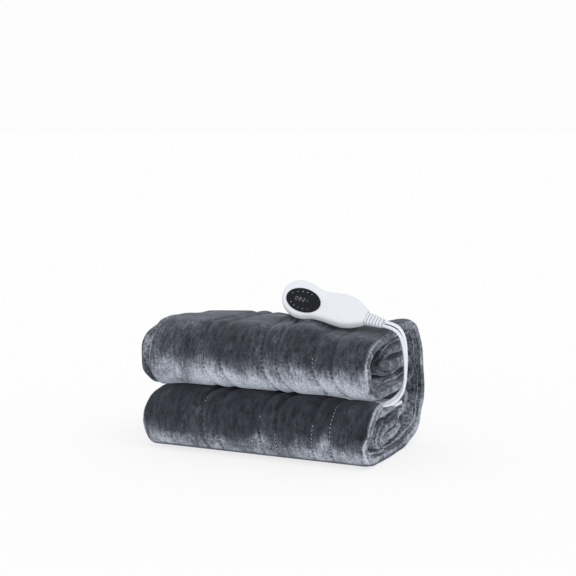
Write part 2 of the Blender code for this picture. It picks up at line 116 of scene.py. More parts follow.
# The coil's turns, three abreast and two high: for each change of place, the turn at which it starts,
# how long it takes, and the radius and the height that it leads to, in mm
COIL_START = (41.1, 4.8)
COIL_MOVES = (
    # turn  takes  radius  height
    (0.0, 0.16, 35.4, 4.3),
    (1.0, 0.16, 30.0, 4.3),
    (2.0, 0.16, 24.6, 4.3),
    (3.0, 0.16, 24.6, 9.7),
    (4.0, 0.16, 30.0, 9.7),
    (5.0, 0.16, 35.4, 9.7),
    (6.08, 0.17, 41.1, 7.1),
)
COIL_TURNS = 6.25
TURN_STEPS = 28
PLUG_BACK = Vector((-30, 226.5, 7.1)) * MM


def ease(value):
    """0 below 0, 1 above 1, and smooth between. It takes numbers and arrays."""
    held = np.clip(value, 0.0, 1.0)
    return held * held * (3 - 2 * held)


def handset_axes():
    """The handset's own axes: along it to the leads, across it, and out of its face."""
    flat = math.cos(HANDSET_PITCH)
    along = Vector((math.cos(HANDSET_YAW) * flat, math.sin(HANDSET_YAW) * flat, -math.sin(HANDSET_PITCH)))
    level = Vector((-math.sin(HANDSET_YAW), math.cos(HANDSET_YAW), 0))
    up = along.cross(level)
    across = level * math.cos(HANDSET_ROLL) + up * math.sin(HANDSET_ROLL)
    face = up * math.cos(HANDSET_ROLL) - level * math.sin(HANDSET_ROLL)
    return along, across, face


def on_handset(along, across, face):
    axes = handset_axes()
    return HANDSET_HEAD + axes[0] * along + axes[1] * across + axes[2] * face


def lead_start(side):
    """Where a lead leaves the strain relief, and 12 mm further on, still straight."""
    across = side * LEAD_SPACING / 2
    return [on_handset(RELIEF_END, across, 0), on_handset(RELIEF_END + 12 * MM, across, 0)]


def travelled_along(places):
    """How far along a line of places each of them is."""
    return np.concatenate([[0], np.cumsum(np.linalg.norm(np.diff(places, axis=0), axis=1))])


def read_at(wanted, travelled, rows):
    """The rows, one for each length travelled, read between at the lengths wanted."""
    return np.column_stack([np.interp(wanted, travelled, column) for column in rows.T])


def smooth_route(points, spacing):
    """Points about evenly spaced along the smooth curve through a route's own points."""
    places = np.array([tuple(point) for point in points])
    ends = np.vstack([places[0] * 2 - places[1], places, places[-1] * 2 - places[-2]])
    share = np.linspace(0, 1, 25)[:-1, None]
    fine = []
    for before, start, stop, after in zip(ends, ends[1:], ends[2:], ends[3:]):
        bend = 2 * before - 5 * start + 4 * stop - after
        twist = 3 * start - before - 3 * stop + after
        fine.append((2 * start + (stop - before) * share + bend * share**2 + twist * share**3) / 2)
    fine = np.vstack([*fine, places[-1]])
    travelled = travelled_along(fine)
    wanted = np.linspace(0, travelled[-1], round(travelled[-1] / spacing) + 1)
    return [Vector(row) for row in read_at(wanted, travelled, fine)]


def coil_line():
    """The coil's turns as points. They run clockwise from the left, seen from above."""
    points = []
    for step in range(1, round(COIL_TURNS * TURN_STEPS) + 1):
        turn = step / TURN_STEPS
        radius, height = COIL_START
        for start, takes, to_radius, to_height in COIL_MOVES:
            share = float(ease((turn - start) / takes))
            radius += (to_radius - radius) * share
            height += (to_height - height) * share
        angle = math.pi - 2 * math.pi * turn
        points.append(COIL_CENTRE + Vector((radius * math.cos(angle), radius * math.sin(angle), height)) * MM)
    return points


def placed(name, data, material):
    """A piece in the scene, with its material."""
    data.materials.append(material)
    return linked(name, data)


def lead_curve(name, points, material):
    data = bpy.data.curves.new(name, "CURVE")
    data.dimensions = "3D"
    data.bevel_depth = LEAD_DIAMETER / 2
    data.bevel_resolution = 4
    data.use_fill_caps = True
    spline = data.splines.new("POLY")
    spline.points.add(len(points) - 1)
    for point, place in zip(spline.points, points):
        point.co = (*place, 1)
    return placed(name, data, material)


def add_node(tree, kind, inputs=(), **settings):
    """A shader or geometry node. An input's value is a socket to link from, or what to set it to."""
    made = tree.nodes.new(kind)
    for name, value in settings.items():
        setattr(made, name, value)
    for name, value in dict(inputs).items():
        if isinstance(value, bpy.types.NodeSocket):
            tree.links.new(value, made.inputs[name])
        else:
            made.inputs[name].default_value = value
    return made


def new_material(name, **sockets):
    """A material with one Principled BSDF, whose sockets are given with _ for each space."""
    made = bpy.data.materials.new(name)
    made.use_nodes = True
    shader = made.node_tree.nodes["Principled BSDF"]
    for socket, value in sockets.items():
        shader.inputs[socket.replace("_", " ")].default_value = value
    return made, made.node_tree, shader


def feed(tree, shader, **sockets):
    """Links a socket to each named input of a shader, with _ for each space."""
    for name, socket in sockets.items():
        tree.links.new(socket, shader.inputs[name.replace("_", " ")])


def maths(tree, operation, a, b=0.0, c=0.0):
    return add_node(tree, "ShaderNodeMath", {0: a, 1: b, 2: c}, operation=operation).outputs[0]


def mixed(tree, first, second, factor, way="MIX"):
    """The first colour, and as much of the second as the factor says, mixed or multiplied in."""
    colours = {"A": first, "B": second, "Factor": factor}
    return add_node(tree, "ShaderNodeMix", colours, data_type="RGBA", blend_type=way).outputs["Result"]


def ranged(tree, value, low, high, start=0.0, stop=1.0):
    """The value, which runs from start to stop, brought to run from low to high."""
    runs = {"Value": value, "From Min": start, "From Max": stop, "To Min": low, "To Max": high}
    return add_node(tree, "ShaderNodeMapRange", runs).outputs["Result"]


def grain_in(tree, scale, detail, **more):
    """Noise all through a piece, with features about 1 / scale metres across."""
    place = add_node(tree, "ShaderNodeTexCoord").outputs["Object"]
    values = {"Vector": place, "Scale": scale, "Detail": detail, **more}
    return add_node(tree, "ShaderNodeTexNoise", values).outputs["Fac"]


def bumped(tree, height, strength, distance):
    values = {"Strength": strength, "Distance": distance, "Height": height}
    return add_node(tree, "ShaderNodeBump", values).outputs["Normal"]


def give_sockets(tree, way, **kinds):
    """Gives a node group its named inputs or outputs, with _ for each space."""
    for name, kind in kinds.items():
        tree.interface.new_socket(name.replace("_", " "), in_out=way, socket_type="NodeSocket" + kind)


def moulded_group():
    """Moulded plastic: faint cloudiness of colour, uneven gloss and a fine spark-eroded grain."""
    tree = bpy.data.node_groups.new("moulded_surface", "ShaderNodeTree")
    give_sockets(tree, "INPUT", Colour="Color", Roughness="Float", Grain_size="Float", Grain_depth="Float")
    give_sockets(tree, "OUTPUT", Colour="Color", Roughness="Float", Normal="Vector")
    given = add_node(tree, "NodeGroupInput").outputs
    cloud = grain_in(tree, 45.0, 3.0)
    cloudy = ranged(tree, cloud, 0.0, 0.16, 0.35, 0.75)
    darker = mixed(tree, given["Colour"], (0.72, 0.74, 0.78, 1), cloudy, "MULTIPLY")
    rough = maths(tree, "ADD", given["Roughness"], ranged(tree, cloud, -0.07, 0.07))
    grain = grain_in(tree, maths(tree, "DIVIDE", 1.0, given["Grain size"]), 2.0)
    normal = bumped(tree, grain, 0.35, given["Grain depth"])
    add_node(tree, "NodeGroupOutput", {"Colour": darker, "Roughness": rough, "Normal": normal})
    return tree


moulded_surface = moulded_group()


def moulded_material(name, colour, roughness, grain_size, grain_depth, **sockets):
    """Moulded plastic, with painted shade: its colour is a little darker where it is seen at a grazing angle.
    """
    made, tree, shader = new_material(name, **sockets)
    values = {"Colour": (*colour, 1), "Roughness": roughness, "Grain size": grain_size,
              "Grain depth": grain_depth}
    group = add_node(tree, "ShaderNodeGroup", values, node_tree=moulded_surface).outputs
    # Painted shade towards the outline, where the surface is seen at a grazing angle
    grazing_shade = maths(tree, "POWER", add_node(tree, "ShaderNodeLayerWeight").outputs["Facing"], 5.0)
    feed(tree, shader, Base_Color=mixed(tree, group["Colour"], (0.34, 0.36, 0.40, 1), grazing_shade, "MULTIPLY"),
         Roughness=group["Roughness"], Normal=group["Normal"])
    return made


lead_sheath = moulded_material("lead_sheath", (0.72, 0.74, 0.80), 0.42, 0.9 * MM, 0.05 * MM,
                               Subsurface_Weight=0.08, Subsurface_Scale=0.002, Coat_Weight=0.12)
route = lead_start(-1) + [Vector(row) * MM for row in MAINS_LEAD_ROUTE]
route.append(COIL_CENTRE + Vector((-COIL_START[0], 0, COIL_START[1])) * MM)
mains_points = smooth_route(route, 6 * MM) + coil_line()
plug_end = PLUG_BACK - Vector((0.45, 0, 0)) * MM
before_plug = plug_end - Vector((9, 0, 0)) * MM
last_stretch = [mains_points[-1], mains_points[-1].lerp(plug_end, 0.35), before_plug, plug_end]
mains_points += smooth_route(last_stretch, 5 * MM)[1:]
mains_flex = lead_curve("mains_flex", mains_points, lead_sheath)
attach(mains_flex, "root")
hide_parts("mains_lead", "mains_coil", "mains_lead_end")

# ---- Coil tie, plug and pins --------------------------------------------------------------------
# The tie is a woven hook-and-loop band. The plug is moulded on to the lead, and its two round pins
# are plated brass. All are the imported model's own pieces.
woven_band, tree, shader = new_material("woven_band", Roughness=0.8)
weft = {"Vector": add_node(tree, "ShaderNodeTexCoord").outputs["Object"], "Scale": 320.0, "Distortion": 0.6}
weave = add_node(tree, "ShaderNodeTexWave", weft, wave_type="BANDS", bands_direction="DIAGONAL").outputs["Fac"]
feed(tree, shader, Base_Color=mixed(tree, (0.012, 0.012, 0.014, 1), (0.055, 0.055, 0.06, 1), weave),
     Normal=bumped(tree, weave, 0.6, 0.3 * MM))
plug_white = moulded_material("plug_white", (0.72, 0.74, 0.78), 0.38, 0.7 * MM, 0.06 * MM)
plated_brass, tree, shader = new_material("plated_brass", Metallic=1.0)
rub = grain_in(tree, 700.0, 4.0)
feed(tree, shader, Base_Color=mixed(tree, (0.66, 0.63, 0.57, 1), (0.82, 0.80, 0.77, 1), rub),
     Roughness=ranged(tree, rub, 0.14, 0.36))


def finish_node(node, material):
    """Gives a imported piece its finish."""
    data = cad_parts[node].data
    data.materials.clear()
    data.materials.append(material)


for node, finish in (("coil_tie", woven_band), ("mains_plug", plug_white), ("plug_pin_1", plated_brass),
                     ("plug_pin_2", plated_brass)):
    finish_node(node, finish)

# ---- Blanket lead and connector -----------------------------------------------------------------
# The same flex from the handset to the blanket. It turns back inside the fold and ends in a flat
# moulded connector, whose outer end shows at the mouth of the fold.
BLANKET_LEAD_ROUTE = (
    # x  y  z, in mm
    (203.0, -33.4, 207.4),
    (209.6, -31.8, 197.8),
    (212.0, -27.2, 182.6),
    (211.4, -21.2, 160.0),
    (210.0, -18.2, 140.0),
    (208.4, -18.4, 122.4),
    (205.0, -23.8, 108.2),
    (198.8, -33.8, 98.2),
    (187.6, -41.8, 90.2),
    (172.0, -45.0, 87.8),
    (150.0, -47.6, 91.0),
    (126.0, -50.2, 96.8),
    (104.0, -50.0, 98.7),
    (87.2, -43.0, 99.2),
    (80.0, -26.0, 99.2),
    (87.2, -9.0, 99.2),
    (104.0, -2.0, 98.7),
    (119.6, -4.6, 97.3),
    (132.8, -13.0, 94.9),
    (143.4, -20.8, 91.0),
    (152.4, -24.0, 87.9),
    (160.4, -24.0, 87.4),
)
route = lead_start(1) + [Vector(row) * MM for row in BLANKET_LEAD_ROUTE]
blanket_points = smooth_route(route, 6 * MM)
blanket_flex = lead_curve("blanket_flex", blanket_points, lead_sheath)
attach(blanket_flex, "root")
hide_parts("blanket_lead")
connector_white = moulded_material("connector_white", (0.74, 0.76, 0.80), 0.36, 0.7 * MM, 0.05 * MM)
finish_node("blanket_connector", connector_white)

# ---- Blanket ------------------------------------------------------------------------------------
# One plush cloth, folded in three across its width into a strip of three plies, and the strip then
# folded back and forth into two bundles. Paired rows of stitching draw it in round the bundle.
CLOTH_LENGTH = 384.0
PLY_PITCH = 7.4
PLY_THICK = 6.9
SIDE_TURN = (PLY_THICK + PLY_PITCH) / 2
# The rim is pressed flatter than the left side fold: how far it reaches, and how much lower it is
RIM_REACH = 5.4
RIM_DROP = 1.7
FOLDS = (
    # corner           back   up     round  rim  loose  hem  fold  tuck, in mm
    ("lower core end", 47.0, 34.5, 0.0, 12, 20, 8, 0, 0),
    ("lower core low", -97.0, 34.5, 11.7, 4, 13, 8, 0, 32),
    ("lower core high", -97.0, 58.0, 11.7, 2, 10, 8, 0, 36),
    ("lower back low", 77.0, 60.0, 11.9, 16, 24, 8, 0, 0),
    ("lower back high", 77.0, 84.0, 11.9, 12, 22, 8, 0, 0),
    ("lead channel", -58.0, 84.0, 60.0, 6, 14, 8, 0, 0),
    ("lower nose high", -122.0, 91.4, 37.0, -6, 12, 3, -4, 0),
    ("lower nose low", -122.0, 10.6, 37.0, 3, 14, 3, -5, 0),
    ("underside lifts", 44.0, 9.6, 160.0, 3, 12, 5, 0, 0),
    ("back low", 105.0, 25.0, 42.0, 3, 11, 8, 0, 0),
    ("back middle", 124.0, 84.0, 60.0, 0, 10, 8, 0, 0),
    ("back high", 101.0, 165.0, 50.0, 0, 9, 10, 0, 0),
    ("top back", 76.0, 193.5, 25.0, 0, 9, 12, 0, 0),
    ("upper nose high", -118.0, 197.0, 38.0, 1, 10, 14, -9, 0),
    ("upper nose low", -118.0, 115.2, 37.0, 1, 22, 13, -8, 0),
    ("upper back low", 79.0, 114.5, 11.8, 4, 12, 8, 0, 0),
    ("upper back high", 79.0, 138.3, 11.8, 8, 18, 8, 0, 0),
    ("hollow", -21.0, 139.5, 60.0, 8, 18, 8, 0, 14),
    ("upper core low", -91.0, 149.5, 11.7, 10, 20, 8, 0, 42),
    ("upper core high", -91.0, 173.0, 11.7, 4, 12, 8, 0, 56),
    ("upper core end", 51.0, 168.0, 0.0, 8, 16, 8, 0, 0),
)
# The first and the last fold that show in front
SHOWS = ("lower nose high", "upper nose low")
# How far apart the strip is cut across: where it shows, in its bends and elsewhere, in mm
STATION_GAPS = (4.2, 4.0, 6.5)
# How far apart the outer face's columns are: between most rows of stitching, and to the right of the last
COLUMN_GAPS = (7.5, 4.5)
TUCK_COMES_ON = ((95, 185),)
SETTLING = (
    # why                           up   over_x                  over_y                  over_z, in mm
    ("heaps under the handset", 18.1, ((-8, 30), (140, 40)), ((-55, -17), (66, -14)), ((122, 194),)),
    ("droops to the left end", -8.0, ((-20, -220),), ((-90, 60),), ((60, 200),)),
    ("sags before the handset", -9.0, ((60, 115),), ((8, -52),), ((140, 195),)),
    ("sinks at the left front", -7.0, ((-130, -205),), ((-40, -110),), ((55, 95),)),
    ("rounds off at the left front", -3.0, ((-130, -205),), ((-30, -100),), ((150, 200),)),
    ("rim sags at the upper front", -4.5, ((130, 190),), ((-10, -90),), ((150, 195),)),
    ("sags behind the handset", -6.0, ((-75, -5), (175, 140)), ((10, 50),), ((140, 195),)),
    ("sags into the mouth", -5.0, ((130, 185),), ((-100, -66), (70, 20)), ((99, 104), (150, 125))),
)
# The left side fold swells to the outer ply's level beyond that ply's hem
FOLD_SWELLS = 6.0
# How far the left end is drawn in under the upper nose, and at the top of each bundle
DRAWN_IN = ((0.3, ((128, 106), (96, 102))), (0.5, ((182, 205),)), (0.5, ((80, 100), (104, 101))))
MOUTH_DEPTH = 15
MOUTH_TOP = 99.5
MOUTH_RAMPS = (((105, 180),), ((-73, -58), (60, 16)))
STITCH_ROWS = (-87, -59, 14, 40, 100, 130)
# How far the rows bear to the right: towards the top of the lower bundle, and under the upper one
ROWS_BEAR = (4, 14)
# Where the cloth keeps still: under the handset, and round the leads and the connector
STILL_PLACES = (
    # over_x                    over_y                  over_z
    (((-20, 20), (190, 150)), ((-75, -55), (20, -5)), ((180, 192),)),
    (((70, 100),), ((-90, -70), (5, -10)), ((76, 80), (112, 104))),
)
# Patches on the front where the pile looks light or dark: painted sheen and shade, with the pile brushed up or
# down
SHEEN_AND_SHADE_PATCHES = (
    # x   up   reach_x  reach_up  more
    (14, 30, 14, 22, 0.42),
    (124, 40, 13, 30, 0.50),
    (-166, 72, 10, 26, 0.20),
    (-160, 150, 20, 22, 0.14),
    (-95, 146, 26, 12, 0.14),
    (-150, 24, 40, 16, -0.10),
    (60, 150, 50, 10, 0.14),
    (-40, 146, 30, 12, 0.06),
    (60, 112, 90, 9, 0.18),
    (-132, 112, 48, 14, -0.28),
    (0, 84, 150, 9, -0.18),
    (-70, 26, 80, 8, 0.14),
    (60, 14, 90, 7, 0.10),
    (8, 14, 22, 10, 0.20),
    (124, 16, 24, 12, 0.22),
)


def strip_line():
    """The strip's middle line about every millimetre: back, up, how its sides lie, and the fold's number."""
    rows = []
    corners = [Vector(row[1:3]) for row in FOLDS]
    left, left_fold = corners[0], 0.0
    for index in range(1, len(FOLDS)):
        corner, radius = corners[index], FOLDS[index][3]
        heading = (corner - corners[index - 1]).normalized()
        onward = (corners[min(index + 1, len(FOLDS) - 1)] - corner).normalized() if radius else heading
        turn = math.atan2(heading.cross(onward), heading.dot(onward))
        arrive = corner - heading * radius * math.tan(abs(turn) / 2)
        count = max(1, round((arrive - left).length))
        for step in range(count):
            share = step / count
            rows.append((*left.lerp(arrive, share), left_fold + (index - left_fold) * share))
        if radius:
            aside = Vector((-heading.y, heading.x)) * math.copysign(radius, turn)
            count = max(2, round(abs(turn) * radius))
            for step in range(count):
                angle = turn * step / count
                c, s = math.cos(angle), math.sin(angle)
                spoke = Vector((aside.x * c - aside.y * s, aside.x * s + aside.y * c))
                rows.append((*(arrive + aside - spoke), float(index)))
            left = corner + onward * radius * math.tan(abs(turn) / 2)
            left_fold = float(index)
    rows.append((*corners[-1], len(FOLDS) - 1.0))
    line = np.array(rows)
    lies = np.array([row[4:] for row in FOLDS], float)
    numbers = np.arange(len(FOLDS))
    sides = [np.interp(line[:, 2], numbers, kind) for kind in lies.T]
    return np.column_stack([line[:, :2], *sides, line[:, 2]])


def softened(values, reach):
    """The columns of values, each smoothed over its neighbours within about reach rows. The ends stay."""
    kernel = np.exp(-0.5 * (np.arange(-3 * reach, 3 * reach + 1) / reach) ** 2)
    kernel /= kernel.sum()
    before = 2 * values[0] - values[3 * reach:0:-1]
    after = 2 * values[-1] - values[-2:-3 * reach - 2:-1]
    padded = np.vstack([before, values, after])
    return np.column_stack([np.convolve(column, kernel, "valid") for column in padded.T])


def ramped(value, ramps):
    """The product of ramps, each from 0 at its first place to 1 at its second."""
    product = np.ones_like(value)
    for start, stop in ramps:
        product = product * ease((value - start) / (stop - start))
    return product


def ripple(places, size, seed):
    """Smooth noise of three components at each place, about -1 to 1, whose features are that size."""
    shift = Vector((seed * 17.3, seed * 5.1, seed * 9.7))
    return np.array([noise.noise_vector(Vector(place) / size + shift) for place in places])


def in_front(folds, before, after):
    """Which stations lie among the folds that show in front, or just before or after them."""
    first, last = ([row[0] for row in FOLDS].index(name) for name in SHOWS)
    return (folds > first - before) & (folds < last + after)


def stations():
    """Where the strip is cut across: its line and how it lies there, the way out and the length so far."""
    line = softened(strip_line(), 4)
    steps = np.linalg.norm(np.diff(line[:, :2], axis=0), axis=1)
    travelled = travelled_along(line[:, :2])
    heading = np.gradient(line[:, :2], travelled, axis=0)
    bend = np.linalg.norm(np.gradient(heading, travelled, axis=0), axis=1)
    shows, bends, elsewhere = STATION_GAPS
    spacing = np.where(in_front(line[:, 7], 0.6, 0.5), shows, np.where(bend > 0.02, bends, elsewhere))
    counted = np.concatenate([[0], np.cumsum(steps / ((spacing[1:] + spacing[:-1]) / 2))])
    wanted = np.linspace(0, counted[-1], round(counted[-1]) + 1)
    at = np.interp(wanted, counted, travelled)
    table, way = (read_at(at, travelled, rows) for rows in (line, heading))
    way /= np.linalg.norm(way, axis=1)[:, None]
    return table, np.column_stack([way[:, 1], -way[:, 0]]), at


def seam_places(table, at):
    """Where each row of stitching runs at each station: it bears to the right in places, and wanders."""
    up, fold = table[:, 1], table[:, 7]
    bears = np.where(fold < 9, ROWS_BEAR[0] * ease((up - 60) / 36), 0.0)
    bears += np.where(fold > 12.9, ROWS_BEAR[1] * ease((152 - up) / 44), 0.0)
    rows = []
    for number, row in enumerate(STITCH_ROWS):
        sway = [noise.noise(Vector((s / 110, number * 0.35, 3.1))) * 5
                + noise.noise(Vector((s / 40, number, 8.0))) * 2 for s in at]
        rows.append(row + bears + np.array(sway))
    return np.array(rows)


def near_edge(edge, *offsets):
    """A column at each distance from an edge. A column has two edges, the share between them, and an offset."""
    return [(edge, edge, 0.0, float(offset)) for offset in offsets]


def end_columns(edges, from_left, from_right):
    """A face's columns from its left edge to its right: close together near both ends."""
    return [*near_edge(from_left, 0, 3, 8, 15, 25, 42), *near_edge(edges["middle"], -90, -30, 30, 90),
            *near_edge(from_right, -66, -54, -44, -35, -27, -20, -14, -9, -4, 0)]


def outer_columns(edges):
    """The outer face's columns: several at each row of stitching and an even spread between the rows."""
    marks = [edges["hem"], *[edges["seam"] + number for number in range(len(STITCH_ROWS))], edges["rim"]]
    places = [-184, *STITCH_ROWS, 185]
    # The columns at a row of stitching have this much of the cloth on each side of it, in mm
    clear = 12
    columns = near_edge(marks[0], 2, 6)
    for number in range(len(marks) - 1):
        low, high = places[number], places[number + 1]
        if number:
            columns += near_edge(marks[number], -6, -2.6, 0, 2.6, 6)
        inside = high - low - 2 * clear
        count = max(1, round(inside / COLUMN_GAPS[number == len(marks) - 2]))
        for step in range(count + 1):
            share = (clear + inside * step / count) / (high - low)
            columns.append((marks[number], marks[number + 1], share, 0.0))
    return columns + near_edge(marks[-1], -7.5, -4.5, -2)


def flat_face(columns, height, face="inner"):
    return [(*column, height, face) for column in columns]


def turned_face(edge, angles, reach, high, middle, face):
    """Points round an edge, at angles in degrees, which reach that far out and that far from its middle."""
    return [(edge, edge, 0.0, reach * math.cos(math.radians(angle)),
             middle + high * math.sin(math.radians(angle)), face) for angle in angles]


def section(edges):
    """The three plies cut across, once round: each point's two edges, share, offset, height and face."""
    half, pitch = PLY_THICK / 2, PLY_PITCH
    hem, rim, loose, fold = (edges[name] for name in ("hem", "rim", "loose", "fold"))
    face, loose_face = end_columns(edges, fold, rim), end_columns(edges, fold, loose)
    return [
        *flat_face(outer_columns(edges), pitch + half, "outer"),
        *turned_face(rim, (72, 46, 20), RIM_REACH, SIDE_TURN - RIM_DROP, pitch / 2, "rim"),
        *turned_face(rim, (-6, -32, -56, -78), RIM_REACH, SIDE_TURN, pitch / 2, "rim"),
        *flat_face(face[::-1], -half),
        *flat_face(near_edge(fold, -0.4), -pitch / 2),
        *flat_face(loose_face, half - pitch),
        *turned_face(loose, (60, 20, -20, -60), half, half, -pitch, "rim"),
        *flat_face(loose_face[::-1], -half - pitch),
        *turned_face(fold, (-102, -128, -154, 180, 154, 128, 102), SIDE_TURN, SIDE_TURN, -pitch / 2, "fold"),
        *flat_face(face, half),
        *flat_face(near_edge(rim, 0.4), pitch / 2),
        *flat_face(end_columns(edges, hem, rim)[::-1], pitch - half),
        *turned_face(hem, (-120, -160, 160, 120), half, half, pitch, "hem"),
    ]


# The slow and the quick waves that the edges of the cloth wander in, in mm along the strip
SLOW_WAVE, QUICK_WAVE = 34, 15
# How far the hem, the rim, the loose edge and the side fold wander with them, in mm
HEM_WANDER, RIM_WANDER, LOOSE_WANDER, FOLD_WANDER = 2.0, (1.3, 0.3), (4.0, 1.5), 1.2
# The cloth puffs up between the seams and sinks at them: how far everywhere, how much further where
# nothing presses it, and how far from a seam that reaches, in mm
PUFF = (1.0, 0.7, 13)
SINK = (1.2, 0.7, 4.4)
# How far the cloth crumples: everywhere, more at the mouth, more still at the mouth's front, and more at
# the left side fold, in mm. Then the size of its large and its small crumples
CRUMPLES = (0.7, 1.5, 0.9, 1.2)
CRUMPLE_SIZES = (46.0, 23.0)
# The left end is drawn in to the left of this place
LEFT_END = -178


def edge_places(table, at, seams):
    """Where the middle, the edges and the rows of stitching lie across the strip, at each station."""
    half = CLOTH_LENGTH / 2
    rough = np.array([noise.noise_vector(Vector((s / SLOW_WAVE, 2.0, 5.0))) for s in at])
    fine = np.array([noise.noise_vector(Vector((s / QUICK_WAVE, 7.0, 1.0))) for s in at])
    return np.vstack([
        np.zeros_like(at),
        -half + table[:, 4] + rough[:, 0] * HEM_WANDER,
        half - table[:, 2] - RIM_REACH + rough[:, 1] * RIM_WANDER[0] + fine[:, 1] * RIM_WANDER[1],
        half - table[:, 3] - PLY_THICK / 2 + rough[:, 2] * LOOSE_WANDER[0] + fine[:, 2] * LOOSE_WANDER[1],
        -half + table[:, 5] + SIDE_TURN + rough[:, 0] * FOLD_WANDER,
        seams,
    ])


def outward(amount, out):
    """A move of that many mm at each point, out of the cloth."""
    return (amount[:, :, None] * np.pad(out, ((0, 0), (1, 0)))[:, None, :]).reshape(-1, 3)


def crumpled(points, still, outer, shape):
    """The points moved by soft crumples, deepest in the mouth."""
    x, y, z = points.T
    everywhere, at_mouth, mouth_front, at_fold = CRUMPLES
    deep = np.broadcast_to(np.where(outer, 0.3, 1.0), shape).ravel()
    amount = everywhere + (at_mouth + mouth_front * ease((30 - y) / 60)) * ease((x - 105) / 75) * deep
    amount = (amount + at_fold * ease((-x - 140) / 45)) * still.ravel()
    amount = amount * (1 - 0.6 * ease((y - 50) / 40)) * (0.4 + 0.6 * ease(z / 45))
    crumple = ripple(points, CRUMPLE_SIZES[0], 1) * amount[:, None]
    crumple += ripple(points, CRUMPLE_SIZES[1], 2) * (0.5 * amount * deep)[:, None]
    crumple[:, 2] *= ease((z - 1) / 22)
    return points + crumple


def cloth_points(ring, edges, table, out, at, seams):
    """Every point of the cloth, and its place on the cloth laid flat. Also how near each is to a seam."""
    places = edge_places(table, at, seams)
    first, second = (np.array([point[k] for point in ring]) for k in (0, 1))
    share, offset, height = (np.array([point[k] for point in ring], float) for k in (2, 3, 4))
    x = places[first].T * (1 - share) + places[second].T * share + offset
    outer = np.array([point[5] == "outer" for point in ring])
    near = np.abs(x[:, None, :] - seams.T[:, :, None]).min(axis=1)
    flat = np.stack([x, np.broadcast_to(at[:, None], x.shape), np.broadcast_to(height, x.shape)], axis=2)
    back = table[:, 0:1] + out[:, 0:1] * height + table[:, 6:7] * ramped(x, TUCK_COMES_ON)
    up = table[:, 1:2] + out[:, 1:2] * height
    seat = np.stack([x, back, up], axis=2).reshape(-1, 3)
    swell = FOLD_SWELLS * ease((places[edges["hem"]][:, None] - 3 - x) / 8)
    seat += outward(swell * np.clip((height + 10.8) / 14.3, 0, 1), out)
    still = 1 - sum(ramped(seat[:, 0], a) * ramped(seat[:, 1], b) * ramped(seat[:, 2], c)
                    for a, b, c in STILL_PLACES).reshape(x.shape)
    shoulder = RIM_DROP * np.exp(-((places[edges["rim"]][:, None] - x) / 5.0) ** 2)
    puff = (PUFF[0] + PUFF[1] * still) * ease(near / PUFF[2])
    lift = puff - (SINK[0] + SINK[1] * still) * np.exp(-(near / SINK[2]) ** 2)
    points = seat + outward(np.where(outer, lift * ease(up / 24) - shoulder, 0.0), out)
    points = crumpled(points, still, outer, x.shape)
    x, y, z = points.T
    rise = sum(more * ramped(x, a) * ramped(y, b) * ramped(z, c) for _, more, a, b, c in SETTLING)
    mouth = MOUTH_DEPTH * ramped(x, MOUTH_RAMPS[0]) * ramped(y, MOUTH_RAMPS[1]) * z / MOUTH_TOP
    points[:, 2] = np.maximum(points[:, 2] + rise - np.where(z <= MOUTH_TOP, mouth, 0), 0.1)
    drawn_in = sum(part * ramped(y, ((-60, -90),)) * ramped(z, ends) for part, ends in DRAWN_IN)
    points[:, 0] = np.where(x < LEFT_END, x - (x - LEFT_END) * drawn_in, x)
    return points, flat.reshape(-1, 3), near.ravel()


def banded(count, rings, first=0, ends=True):
    """The faces of a stack of rings, each with count points numbered from first, and of its two ends."""
    last = first + (rings - 1) * count
    faces = [tuple(range(low, low + count)) for low in (first, last)] if ends else []
    for low in range(first, last, count):
        for place in range(count):
            after = (place + 1) % count
            faces.append((low + place, low + after, low + count + after, low + count + place))
    return faces


def closed_mesh(name, points, faces, sharp=None):
    """A smooth mesh, its faces pointing out. Given an angle, it is also merged, and creased past that angle."""
    mesh = bpy.data.meshes.new(name)
    mesh.from_pydata([tuple(point) for point in points], [], faces)
    body = bmesh.new()
    body.from_mesh(mesh)
    if sharp:
        bmesh.ops.remove_doubles(body, verts=body.verts, dist=0.001 * MM)
    bmesh.ops.recalc_face_normals(body, faces=body.faces)
    body.to_mesh(mesh)
    body.free()
    mesh.shade_smooth()
    if sharp:
        mesh.set_sharp_from_angle(angle=math.radians(sharp))
    return mesh


def keep(mesh, kind, **facts):
    """Stores a number (FLOAT) or three of them (FLOAT_VECTOR) for each point of a mesh, by name."""
    for name, values in facts.items():
        data = mesh.attributes.new(name, kind, "POINT").data
        data.foreach_set("value" if kind == "FLOAT" else "vector", np.asarray(values, np.float32).ravel())


# How light the pile looks, about 0 to 1. On the outside it is painted sheen from its slope: the more it looks
# down, the lighter, within this range
SLOPE_SHEEN = (-0.08, 0.66)
# How much darker the lower bundle is in front
LOWER_DARKER = 0.20
# The lightest that the outside of the lower bundle can be, and how much lighter the upper one can be
LIGHTEST = (0.33, 0.30)
# How light the side fold, the rim, the hem and the inside look. The rim and the hem are lighter partly as a
# painted highlight along these edges
FOLD_LIGHT, RIM_LIGHT, HEM_LIGHT, INSIDE_LIGHT = -0.06, 0.30, 0.30, 0.18
# How much painted shade darkens the rim and the inside, deep in the hollow of the upper mouth
DEEP_SHADE = (0.36, 0.85)
# The painted highlight on the rim's upper corner, the crest of the fold, and on the last column before it
CREST_HIGHLIGHT = (0.36, 0.05)
# How dark the painted shade in the creases between the plies is, at least and at most, and the painted contact
# shadow along the line where the cloth rests
CREASE_SHADE = (0.04, 0.6)
REST_SHADOW = 1.2
# How far from a row of stitching the painted shade of its valley reaches, in mm
SEAM_WIDTH = 1.7


